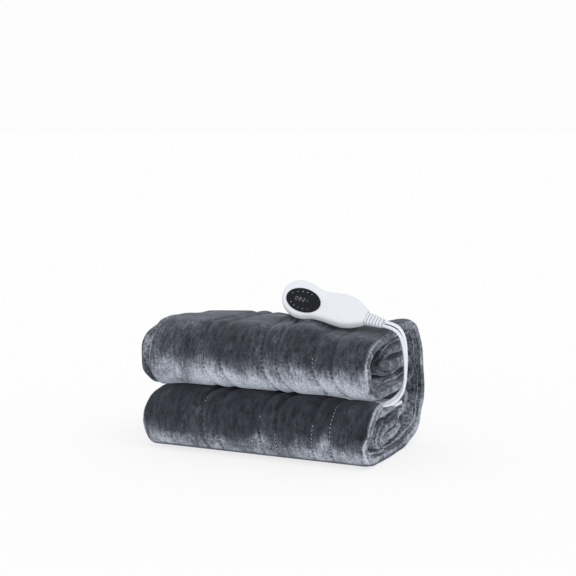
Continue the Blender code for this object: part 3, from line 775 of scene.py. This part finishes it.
def cloth_facts(mesh, ring, rings, near):
    """How light the pile looks at each point (0 dark to 1 light), from its lay and painted sheen, highlight and
    shade; how crushed it is, and how near a seam.
    """
    normals, places = (np.empty(len(mesh.vertices) * 3, np.float32) for _ in range(2))
    mesh.vertex_normals.foreach_get("vector", normals)
    mesh.vertices.foreach_get("co", places)
    x, y, z = places.reshape(-1, 3).T / MM
    # Painted sheen: on the outside, the more a face looks down, the lighter it is painted
    down_sheen = np.clip(-normals.reshape(-1, 3)[:, 2], *SLOPE_SHEEN)
    front = ease((-40 - y) / 30)
    down_sheen -= LOWER_DARKER * front * (1 - ease((z - 94) / 10))
    # Painted sheen and shade in patches on the front
    for across, up, reach_x, reach_up, more in SHEEN_AND_SHADE_PATCHES:
        down_sheen += more * front * np.exp(-((x - across) / reach_x) ** 2 - ((z - up) / reach_up) ** 2)
    down_sheen = np.minimum(down_sheen, LIGHTEST[0] + LIGHTEST[1] * ease((z - 90) / 12))
    kinds = np.tile([point[5] for point in ring], rings)
    behind = ease((y - 10) / 50) * ease((z - 100) / 50)
    # Painted shade deep in the hollow of the upper mouth
    hollow_shade = ease((x - 105) / 30) * ramped(y, ((-114, -105), (-34, -56))) * ramped(z, ((122, 130), (186, 172)))
    rim = RIM_LIGHT - 0.06 * behind + 0.16 * ease((52 - z) / 30) - 0.12 * ease((z - 98) / 10) * (1 - behind)
    lay_and_painted_light = np.select([kinds == "outer", kinds == "fold", kinds == "rim", kinds == "hem"],
                      [down_sheen, FOLD_LIGHT, rim - DEEP_SHADE[0] * hollow_shade, HEM_LIGHT * ease((z - 92) / 12)],
                      INSIDE_LIGHT + 0.09 * ease((96 - z) / 10) - DEEP_SHADE[1] * hollow_shade)
    # Painted highlight along the crest of the rim
    corner = [CREST_HIGHLIGHT[0] if face == "rim" and height > PLY_PITCH + 0.5 else
              CREST_HIGHLIGHT[1] if face == "outer" and offset == -2.0 else 0.0
              for _, _, _, offset, height, face in ring]
    # Painted shade in the creases between the plies, and a painted contact shadow where the cloth rests on the
    # floor
    shaded_crease = [face == "rim" and (-4.5 < height < -3.0 or height < -10.0) for *_, height, face in ring]
    parted = [0.30 + 0.70 * noise.noise(Vector((step / 6, 3.0, 9.0))) for step in range(rings)]
    lay_and_painted_light = lay_and_painted_light - np.outer(np.clip(parted, *CREASE_SHADE), shaded_crease).ravel() - REST_SHADOW * (1 - ease(z / 11))
    crest_highlight = np.tile(corner, rings) * (1 - 0.65 * ease((y + 104) / 40)) * (1 - 0.5 * ease((z - 186) / 12))
    return dict(
        lay_and_painted_light=lay_and_painted_light + crest_highlight * ease((z - 6) / 16),
        crush=np.where((kinds == "outer") | (kinds == "fold"), 0.0, 1.0),
        seam=np.where(kinds == "outer", np.exp(-(near / SEAM_WIDTH) ** 2), 0.0),
    )


# One fixed seed gives the cloth the same wander each time
noise.seed_set(4)
edges = {"middle": 0, "hem": 1, "rim": 2, "loose": 3, "fold": 4, "seam": 5}
table, out, at = stations()
seams = seam_places(table, at)
ring = section(edges)
points, flat, near = cloth_points(ring, edges, table, out, at, seams)
mesh = closed_mesh("blanket_cloth", (points * MM).tolist(), banded(len(ring), len(at)))
keep(mesh, "FLOAT", **cloth_facts(mesh, ring, len(at), near))
keep(mesh, "FLOAT_VECTOR", cloth=flat * MM)
print("blanket", len(mesh.vertices), "points", len(mesh.polygons), "faces", "strip", round(at[-1], 1))

plush, tree, shader = new_material("plush", Roughness=0.85, Specular_IOR_Level=0.2, Sheen_Weight=0.18,
                                   Sheen_Roughness=0.5, Sheen_Tint=(0.8, 0.86, 1.0, 1))


def stored(tree, name, output="Fac"):
    """What is stored for the points of a piece under that name."""
    return add_node(tree, "ShaderNodeAttribute", attribute_name=name).outputs[output]


def cloth_noise(scale, detail, rough, place=None):
    """Noise over the cloth laid flat, about 0 to 1, whose features are about 1 / scale metres each way."""
    mapped = add_node(tree, "ShaderNodeMapping", {"Vector": place or cloth_place, "Scale": scale})
    values = {"Vector": mapped.outputs["Vector"], "Scale": 1.0, "Detail": detail, "Roughness": rough}
    return add_node(tree, "ShaderNodeTexNoise", values).outputs["Fac"]


def added(*parts):
    """The sum of noises, each less its middle value and times its weight."""
    total = 0.0
    for value, weight in parts:
        total = maths(tree, "MULTIPLY_ADD", maths(tree, "SUBTRACT", value, 0.5), weight, total)
    return total


STITCH_PITCH = 6.2 * MM
# What makes the pile lie unevenly, from broad strokes of the hand to single tufts
RAGGED = (
    # scale  detail  roughness  weight
    ((15, 15, 15), 2.0, 0.55, 1.0),
    ((48, 40, 40), 3.0, 0.55, 0.56),
    ((230, 80, 95), 4.0, 0.6, 0.56),
    ((560, 330, 330), 3.0, 0.62, 0.6),
)
PILE_COLOURS = (
    # how light the pile looks, colour
    (0.0, (0.015, 0.017, 0.025)),
    (0.28, (0.042, 0.046, 0.058)),
    (0.50, (0.105, 0.113, 0.135)),
    (0.74, (0.33, 0.355, 0.41)),
    (1.0, (0.46, 0.495, 0.56)),
)
object_place = add_node(tree, "ShaderNodeTexCoord").outputs["Object"]
cloth_place = stored(tree, "cloth", "Vector")
# How light the pile looks: its lay, with painted sheen, highlight and shade
lay_and_painted_light, crush, seam = (stored(tree, name) for name in ("lay_and_painted_light", "crush", "seam"))
ragged = added(*((cloth_noise(scale, detail, rough), weight) for scale, detail, rough, weight in RAGGED))
mottle = cloth_noise((185, 185, 185), 4.0, 0.62, object_place)
speck = cloth_noise((520, 430, 430), 3.0, 0.6)
much = maths(tree, "MULTIPLY_ADD", crush, 0.75, 0.3)
crushed = maths(tree, "MULTIPLY", maths(tree, "SUBTRACT", mottle, 0.5), much)
# Painted shade along a seam's valley, darkest at the needle's holes
along_strip = add_node(tree, "ShaderNodeSeparateXYZ", {"Vector": cloth_place}).outputs["Y"]
holes = maths(tree, "SINE", maths(tree, "MULTIPLY", along_strip, 2 * math.pi / STITCH_PITCH))
seam_shade = maths(tree, "MULTIPLY", seam, maths(tree, "MULTIPLY_ADD", holes, 0.16, 0.24))
lightness_sum = maths(tree, "SUBTRACT", maths(tree, "ADD", maths(tree, "ADD", lay_and_painted_light, ragged), crushed), seam_shade)
lightness = ranged(tree, lightness_sum, 0.0, 1.0, -0.30, 0.78)
pile = add_node(tree, "ShaderNodeValToRGB", {"Fac": lightness})
pile.color_ramp.interpolation = "B_SPLINE"
for position, _ in PILE_COLOURS[1:-1]:
    pile.color_ramp.elements.new(position)
for element, (_, colour) in zip(pile.color_ramp.elements, PILE_COLOURS):
    element.color = (*colour, 1)
# Where the pile looks dark, it is also blotched
blotch = added((cloth_noise((140, 62, 70), 5.0, 0.68), 4.4))
shade = ranged(tree, speck, 0.58, 1.42, 0.3, 0.7)
blotched = maths(tree, "MULTIPLY_ADD", maths(tree, "SUBTRACT", 1.0, lightness), blotch, shade)
shaded = {0: pile.outputs["Color"], "Scale": blotched}
grainy = add_node(tree, "ShaderNodeVectorMath", shaded, operation="SCALE").outputs["Vector"]
tuft = maths(tree, "MULTIPLY_ADD", mottle, 0.6, speck)
feed(tree, shader, Base_Color=grainy, Normal=bumped(tree, tuft, 0.5, 0.9 * MM))
blanket_cloth = placed("blanket_cloth", mesh, plush)
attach(blanket_cloth, "root")
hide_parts("blanket")

# ---- Stitching ----------------------------------------------------------------------------------
# Rows of thick grey thread, sewn through all the layers of one ply. The pile closes over some of the
# stitches, and over all of them on the top.
STITCH_LENGTH = 3.8 * MM
THREAD_DIAMETER = 0.95 * MM
THREAD_LIFT = 0.30
THREAD_SINKS = 1.3
# The stitches that show in front: their row, counted from the left, and the lowest and highest, in mm
STITCHES_SHOW = ((0, 82, 94), (0, 122, 160), (1, 24, 34), (1, 122, 134), (2, 20, 32), (2, 66, 72), (3, 14, 46),
                 (3, 118, 132), (4, 22, 66), (4, 152, 166), (5, 18, 92), (5, 112, 132))


def stitch_guide():
    """A point for each stitch, with the way that its row runs there and the way out of the cloth."""
    count = len(ring)
    shown = np.flatnonzero(in_front(table[:, 7], 0.5, 0.4))
    places, runs, outs = [], [], []
    for number in range(len(STITCH_ROWS)):
        on_row = (edges["seam"] + number, 0.0, 0.0)
        column = next(k for k, point in enumerate(ring) if (point[0], point[2], point[3]) == on_row)
        corners = [mesh.vertices[step * count + column] for step in shown]
        line = np.array([tuple(corner.co) for corner in corners])
        ways = np.array([tuple(corner.normal) for corner in corners])
        travelled = travelled_along(line)
        wanted = np.arange(STITCH_PITCH / 2, travelled[-1], STITCH_PITCH)
        at_stitch, ahead = (read_at(wanted + step, travelled, line) for step in (0, 1 * MM))
        way = read_at(wanted, travelled, ways)
        y, z = at_stitch[:, 1:].T / MM
        wander = np.array([noise.noise(Vector((s / (52 * MM), number * 3.7, 4.0))) for s in wanted])
        opened = sum(ramped(z, ((low - 4, low + 4), (high + 4, high - 4)))
                     for row, low, high in STITCHES_SHOW if row == number)
        closed = np.where(y < -40, 1.1 - opened + 0.4 * wander, 0.85 + 2.0 * wander)
        sunk = np.maximum(ease(closed) * 0.6, ease((z - 168) / 14))
        places.append(at_stitch + way * ((THREAD_LIFT - THREAD_SINKS * sunk) * MM)[:, None])
        runs.append(ahead - at_stitch)
        outs.append(way)
    return np.vstack(places), np.vstack(runs), np.vstack(outs)


def stitch_tree():
    """Sets a stitch on every point, lying the way that its row runs."""
    tree = bpy.data.node_groups.new("rows_of_stitches", "GeometryNodeTree")
    tree.is_modifier = True
    give_sockets(tree, "INPUT", Geometry="Geometry", Stitch_length="Float", Thread_diameter="Float",
                 Thread="Material")
    give_sockets(tree, "OUTPUT", Geometry="Geometry")
    given = add_node(tree, "NodeGroupInput").outputs
    run, way_out = (add_node(tree, "GeometryNodeInputNamedAttribute", {"Name": name}, data_type="FLOAT_VECTOR")
                    for name in ("run", "out"))
    stitch = add_node(tree, "GeometryNodeMeshUVSphere", {"Segments": 6, "Rings": 5, "Radius": 0.5})
    thick = given["Thread diameter"]
    size = add_node(tree, "ShaderNodeCombineXYZ", {"X": given["Stitch length"], "Y": thick, "Z": thick})
    axes = {"Primary Axis": run.outputs["Attribute"], "Secondary Axis": way_out.outputs["Attribute"]}
    turn = add_node(tree, "FunctionNodeAxesToRotation", axes, primary_axis="X", secondary_axis="Z")
    sowing = {"Points": given["Geometry"], "Instance": stitch.outputs["Mesh"],
              "Rotation": turn.outputs["Rotation"], "Scale": size.outputs["Vector"]}
    sown = add_node(tree, "GeometryNodeInstanceOnPoints", sowing).outputs["Instances"]
    smooth = add_node(tree, "GeometryNodeSetShadeSmooth", {"Geometry": sown}).outputs["Geometry"]
    real = add_node(tree, "GeometryNodeRealizeInstances", {"Geometry": smooth}).outputs["Geometry"]
    dressed = add_node(tree, "GeometryNodeSetMaterial", {"Geometry": real, "Material": given["Thread"]})
    add_node(tree, "NodeGroupOutput", {"Geometry": dressed.outputs["Geometry"]})
    return tree


def grown(name, guide, tree, settings):
    """A plain mesh of what a node tree makes of a guide mesh, as an object."""
    holder = linked(name, guide)
    modifier = holder.modifiers.new("grown", "NODES")
    modifier.node_group = tree
    for item in tree.interface.items_tree:
        if item.item_type == "SOCKET" and item.in_out == "INPUT" and item.name in settings:
            modifier[item.identifier] = settings[item.name]
    bpy.context.view_layer.update()
    result = bpy.data.meshes.new_from_object(holder.evaluated_get(bpy.context.evaluated_depsgraph_get()))
    bpy.data.objects.remove(holder)
    return linked(name, result)


thread, tree, shader = new_material("grey_thread", Roughness=0.6, Sheen_Weight=0.2)
twist = grain_in(tree, 900.0, 2.0)
feed(tree, shader, Base_Color=mixed(tree, (0.25, 0.265, 0.295, 1), (0.48, 0.505, 0.55, 1), twist))
places, runs, outs = stitch_guide()
guide = bpy.data.meshes.new("stitch_guide")
guide.from_pydata(places.tolist(), [], [])
keep(guide, "FLOAT_VECTOR", run=runs, out=outs)
stitching = grown("stitching", guide, stitch_tree(),
                  {"Stitch length": STITCH_LENGTH, "Thread diameter": THREAD_DIAMETER, "Thread": thread})
print("stitches", len(places), "faces", len(stitching.data.polygons))
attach(stitching, "root")

# ---- Handset ------------------------------------------------------------------------------------
# Two satin white ABS half shells that meet in a fine groove round the edge. A round head holds the
# display, and the body narrows to the sleeve that both leads come out of. The head leans over a
# little to one side, as it does when the body lies in the hand.
HEAD_MIDDLE = -5.0
HEAD_REACH = 35.0
HEAD_LEAN = 7.0
HALF_DEPTH = 9.2
HANDSET_OUTLINE = (
    # along  upper_side  lower_side  half_depth, in mm, from within the head to the leads' end
    (-18.0, 32.7, 27.5, 9.2),
    (-5.0, 32.4, 32.4, 9.2),
    (5.0, 30.3, 33.2, 9.2),
    (13.0, 28.1, 32.2, 9.2),
    (20.0, 26.4, 29.6, 9.2),
    (29.0, 25.2, 27.0, 9.2),
    (41.0, 26.0, 26.3, 9.3),
    (53.0, 28.1, 26.8, 9.8),
    (66.0, 29.4, 27.5, 10.4),
    (80.0, 27.9, 27.0, 10.4),
    (93.0, 23.0, 23.4, 10.0),
    (103.0, 17.4, 18.0, 9.4),
    (110.2, 13.2, 13.6, 8.7),
    (111.6, 12.0, 12.2, 8.3),
)
SHELL_LAYERS = (
    # drawn_in  height above the parting line, in mm where the half depth is HALF_DEPTH
    (12.6, -9.2),
    (12.0, -9.2),
    (7.6, -8.5),
    (3.8, -6.3),
    (1.1, -3.1),
    (0.0, 0.4),
    (0.5, 3.9),
    (1.9, 6.8),
    (4.2, 8.6),
    (7.0, 9.2),
    (7.8, 9.2),
)
PARTING = (0.9, 0.5, 0.45)
HEAD_STEPS = 26


def shell_layers():
    """How far in and how high each layer of the shell is, from its back to its face, with the groove."""
    level, width, depth = PARTING
    smooth = [(v.x, v.y) for v in smooth_route([Vector((*row, 0)) for row in SHELL_LAYERS], 0.8)]
    ins, heights = (np.array(column) for column in zip(*smooth))
    wanted = sorted([*heights, *(level + width * k / 2 for k in (-2, -1, 0, 1, 2))])
    rows = []
    for height in wanted:
        groove = depth * math.exp(-((height - level) / width * 1.6) ** 2)
        rows.append((float(np.interp(height, heights, ins)) + groove, height / HALF_DEPTH))
    rows[0] = (SHELL_LAYERS[0][0], -1.0)
    rows[-1] = (SHELL_LAYERS[-1][0], 1.0)
    return rows


def shell_mesh():
    """The shell, layer by layer: down one side from the leads to the head's tip, and back up the other."""
    outline = smooth_route([Vector(row) for row in HANDSET_OUTLINE], 1.6)
    widest = min(outline, key=lambda v: abs(v.x - HEAD_MIDDLE))
    body = [v for v in reversed(outline) if v.x > HEAD_MIDDLE + 0.8]
    points = []
    rows = shell_layers()
    for drawn_in, height in rows:
        sides = []
        reach = HEAD_REACH - drawn_in
        lean = HEAD_LEAN * reach / HEAD_REACH
        for half_width, leans in ((1, lean), (2, -lean)):
            side = [(v.x, v[half_width] - drawn_in, v.w * height) for v in body]
            for step in range(HEAD_STEPS):
                angle = math.radians(90) * step / HEAD_STEPS
                c, s = math.cos(angle), math.sin(angle)
                across = (widest[half_width] - drawn_in) * c + leans * s
                side.append((HEAD_MIDDLE - reach * s, across, HALF_DEPTH * height))
            sides.append(side)
        tip = (HEAD_MIDDLE - reach, lean, HALF_DEPTH * height)
        layer = sides[0] + [tip] + [(along, -across, face) for along, across, face in reversed(sides[1])]
        points += [on_handset(*(Vector(place) * MM)) for place in layer]
    count = len(layer)
    faces = banded(count, len(rows), ends=False)
    for first in (0, (len(rows) - 1) * count):
        for place in range(count // 2 - 1):
            far = count - 1 - place
            faces.append((first + place, first + place + 1, first + far - 1, first + far))
        middle = first + count // 2
        faces.append((middle - 1, middle, middle + 1))
    return closed_mesh("handset_shell", points, faces, 40)


shell_white = moulded_material("shell_white", (0.71, 0.73, 0.775), 0.34, 0.6 * MM, 0.03 * MM,
                               Coat_Weight=0.1)
handset_shell = placed("handset_shell", shell_mesh(), shell_white)
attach(handset_shell, "root")
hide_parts("handset_body")

# ---- Display ------------------------------------------------------------------------------------
# A glossy smoked window, set on the face, with touch marks printed behind it round its edge and three
# figures in the middle.
DISPLAY_HALF = (31.4, 20.6)
DISPLAY_TURN = math.radians(-10.3)
DISPLAY_SHIFT = (3.4, -5.2)
DISPLAY_FOOT = HALF_DEPTH + 0.3
DISPLAY_LAYERS = (
    # drawn_in  height, in mm
    (0.0, 0.0),
    (0.0, 0.7),
    (0.14, 1.02),
    (0.5, 1.24),
    (1.4, 1.32),
    (6.0, 1.36),
    (14.0, 1.4),
    (20.0, 1.4),
)
PRINT_LIFT = 0.04
PRINT_SINK = 0.05


def on_display(along, across, height):
    place = Vector((along + DISPLAY_SHIFT[0], across + DISPLAY_SHIFT[1], DISPLAY_FOOT + height))
    return on_handset(*(place * MM))


def display_mesh():
    steps = 96
    turn_c, turn_s = math.cos(DISPLAY_TURN), math.sin(DISPLAY_TURN)
    points = []
    for drawn_in, height in DISPLAY_LAYERS:
        for step in range(steps):
            angle = 2 * math.pi * step / steps
            long = (DISPLAY_HALF[0] - drawn_in) * math.cos(angle)
            short = (DISPLAY_HALF[1] - drawn_in) * math.sin(angle)
            points.append(on_display(long * turn_c - short * turn_s, long * turn_s + short * turn_c, height))
    return closed_mesh("display_window", points, banded(steps, len(DISPLAY_LAYERS)), 60)


smoked, tree, shader = new_material("smoked_window", IOR=1.38, Specular_IOR_Level=0.18)
smear = grain_in(tree, 60.0, 4.0, Distortion=1.2)
feed(tree, shader, Roughness=ranged(tree, smear, 0.10, 0.26),
     Base_Color=mixed(tree, (0.006, 0.006, 0.008, 1), (0.012, 0.013, 0.016, 1), smear))
display_window = placed("display_window", display_mesh(), smoked)
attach(display_window, "root")
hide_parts("handset_display")

TOUCH_MARKS = (
    # along  across  half_size, in mm
    (-22.8, 7.0, 0.9),
    (-15.8, 12.0, 0.7),
    (-7.6, 14.3, 0.95),
    (0.8, 15.0, 0.95),
    (9.0, 13.6, 0.8),
    (-17.4, -9.4, 0.95),
    (-10.0, -13.7, 0.95),
    (-1.6, -15.6, 0.7),
    (6.8, -15.7, 0.8),
    (14.8, -13.8, 0.6),
    (8.2, 0.2, 0.8),
)
FIGURES = ((-12.2, "0"), (-5.4, "8"), (1.3, "2"))
FIGURE_SIZE = (3.4, 5.8)
FIGURE_STROKE = 0.62
BARS = dict(top=(0, 1, 1, 1), middle=(0, 0, 1, 0), bottom=(0, -1, 1, -1), high_left=(0, 0, 0, 1),
            low_left=(0, -1, 0, 0), high_right=(1, 0, 1, 1), low_right=(1, -1, 1, 0))
LIT = {"0": ("top", "bottom", "high_left", "low_left", "high_right", "low_right"), "8": tuple(BARS),
       "2": ("top", "high_right", "middle", "low_left", "bottom")}


def print_mesh():
    """The printed marks as thin plates, just proud of the window."""
    points, faces = [], []

    def plate(corners):
        faces.extend(banded(len(corners), 2, first=len(points)))
        for lift in (-PRINT_SINK, PRINT_LIFT):
            points.extend(on_display(*corner, DISPLAY_LAYERS[-1][1] + lift) for corner in corners)

    for along, across, size in TOUCH_MARKS:
        around = [2 * math.pi * step / 14 for step in range(14)]
        plate([(along + size * math.cos(a), across + size * math.sin(a)) for a in around])
    wide, high = FIGURE_SIZE[0], FIGURE_SIZE[1] / 2
    half, trim = FIGURE_STROKE / 2, FIGURE_STROKE * 0.62
    for middle, figure in FIGURES:
        for bar in LIT[figure]:
            x0, y0, x1, y1 = BARS[bar]
            x0, x1 = middle + (x0 - 0.5) * wide, middle + (x1 - 0.5) * wide
            y0, y1 = y0 * high, y1 * high
            more_x, more_y = (-trim, half) if y0 == y1 else (half, -trim)
            x0, x1, y0, y1 = x0 - more_x, x1 + more_x, y0 - more_y, y1 + more_y
            plate([(x0, y0), (x1, y0), (x1, y1), (x0, y1)])
    return closed_mesh("display_print", points, faces, 40)


print_grey, tree, shader = new_material("print_grey", Roughness=0.5)
fade = grain_in(tree, 160.0, 2.0)
feed(tree, shader, Base_Color=mixed(tree, (0.10, 0.10, 0.11, 1), (0.42, 0.43, 0.45, 1), fade))
display_print = placed("display_print", print_mesh(), print_grey)
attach(display_print, "root")

# ---- Ribbed sleeve ------------------------------------------------------------------------------
# The strain relief: one soft white moulding with rounded ribs, tapering from the shell to the leads, with
# painted shade in the grooves between the ribs.
SLEEVE_START = 111.9
SLEEVE_LENGTH = 29.4
SLEEVE_ROOT = (11.0, 7.4)
SLEEVE_TIP = (7.6, 4.4)
SLEEVE_RIBS = 6
RIB_GROOVE = 1.3
# Where a groove lies between one rib and the next, and how wide it is, as shares of a rib
GROOVE_AT = 0.76
GROOVE_WIDTH = 0.10
SLEEVE_SQUARENESS = 2.6
# How far the sleeve is rounded off at its root and at its tip, in mm, and over what share of its length
ROOT_ROUND, TIP_ROUND, ROUND_SHARE = 0.25, 0.5, 0.02


def oval_ring(half_wide, half_deep, squareness, count):
    """An oval with flattened sides, as (across, out of the face)."""
    ring = []
    for step in range(count):
        angle = 2 * math.pi * step / count
        c, s = math.cos(angle), math.sin(angle)
        ring.append((half_wide * math.copysign(abs(c) ** (2 / squareness), c),
                     half_deep * math.copysign(abs(s) ** (2 / squareness), s)))
    return ring


def sleeve_mesh():
    count = 40
    rows = SLEEVE_RIBS * 16
    points = []
    for row in range(rows + 1):
        share = row / rows
        rib = (share * SLEEVE_RIBS) % 1
        depth = RIB_GROOVE * math.exp(-((rib - GROOVE_AT) / GROOVE_WIDTH) ** 2)
        depth += (TIP_ROUND * math.exp(-((1 - share) / ROUND_SHARE) ** 2)
                  + ROOT_ROUND * math.exp(-(share / ROUND_SHARE) ** 2))
        wide, deep = (a + (b - a) * share - depth for a, b in zip(SLEEVE_ROOT, SLEEVE_TIP))
        for across, face in oval_ring(wide, deep, SLEEVE_SQUARENESS, count):
            points.append(on_handset(*(Vector((SLEEVE_START + SLEEVE_LENGTH * share, across, face)) * MM)))
    mesh = closed_mesh("ribbed_sleeve", points, banded(count, rows + 1), 50)
    along = handset_axes()[0]
    shares = [((corner.co - HANDSET_HEAD).dot(along) / MM - SLEEVE_START) / SLEEVE_LENGTH
              for corner in mesh.vertices]
    # Painted shade in each groove, which spreads a little wider than the groove itself
    wide = GROOVE_WIDTH * 1.2
    shade = [math.exp(-((share * SLEEVE_RIBS % 1 - GROOVE_AT) / wide) ** 2) for share in shares]
    keep(mesh, "FLOAT", groove=shade)
    return mesh


sleeve_white = moulded_material("sleeve_white", (0.70, 0.72, 0.765), 0.5, 0.5 * MM, 0.05 * MM)
tree, shader = sleeve_white.node_tree, sleeve_white.node_tree.nodes["Principled BSDF"]
plain = shader.inputs["Base Color"].links[0].from_socket
# Painted shade: the colour is darkened in the grooves between the ribs
feed(tree, shader, Base_Color=mixed(tree, plain, (0.52, 0.54, 0.58, 1), stored(tree, "groove"), "MULTIPLY"))
ribbed_sleeve = placed("ribbed_sleeve", sleeve_mesh(), sleeve_white)
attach(ribbed_sleeve, "root")
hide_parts("strain_relief")

# ---- Floor and light ----------------------------------------------------------------------------
# A plain white floor under soft light from all round, with one broad soft light from above on the
# right, and one without shadows from low in front, as light that the table throws back. The floor
# glows a little, as a lit studio table does, so shadows on it stay faint.
FLOOR_REACH = 60.0
FLOOR_GLOW = 0.765
ROUND_LIGHT = 0.975
corners = [(x * FLOOR_REACH, y * FLOOR_REACH, 0) for x, y in ((-1, -1), (1, -1), (1, 1), (-1, 1))]
floor_mesh = bpy.data.meshes.new("studio_floor")
floor_mesh.from_pydata(corners, [], [(0, 1, 2, 3)])
table_white = new_material("table_white", Base_Color=(0.2, 0.2, 0.2, 1), Roughness=0.9, Specular_IOR_Level=0.0,
                           Emission_Color=(1, 1, 1, 1), Emission_Strength=FLOOR_GLOW)[0]
studio_floor = placed("studio_floor", floor_mesh, table_white)
world = bpy.data.worlds.new("studio")
world.use_nodes = True
background = world.node_tree.nodes["Background"].inputs
background["Color"].default_value = (1, 1, 1, 1)
background["Strength"].default_value = ROUND_LIGHT
bpy.context.scene.world = world
LAMPS = (
    # name          from                energy  angle  shadow
    ("overhead", (0.55, -0.35, 1.0), 0.50, 35, True),
    ("bounced", (0.15, -1.0, -0.5), 1.15, 60, False),
)
for name, comes_from, energy, angle, casts in LAMPS:
    light = bpy.data.lights.new(name, "SUN")
    light.energy = energy
    light.angle = math.radians(angle)
    light.use_shadow = casts
    linked(name, light).rotation_euler = Vector(comes_from).to_track_quat("Z", "Y").to_euler()
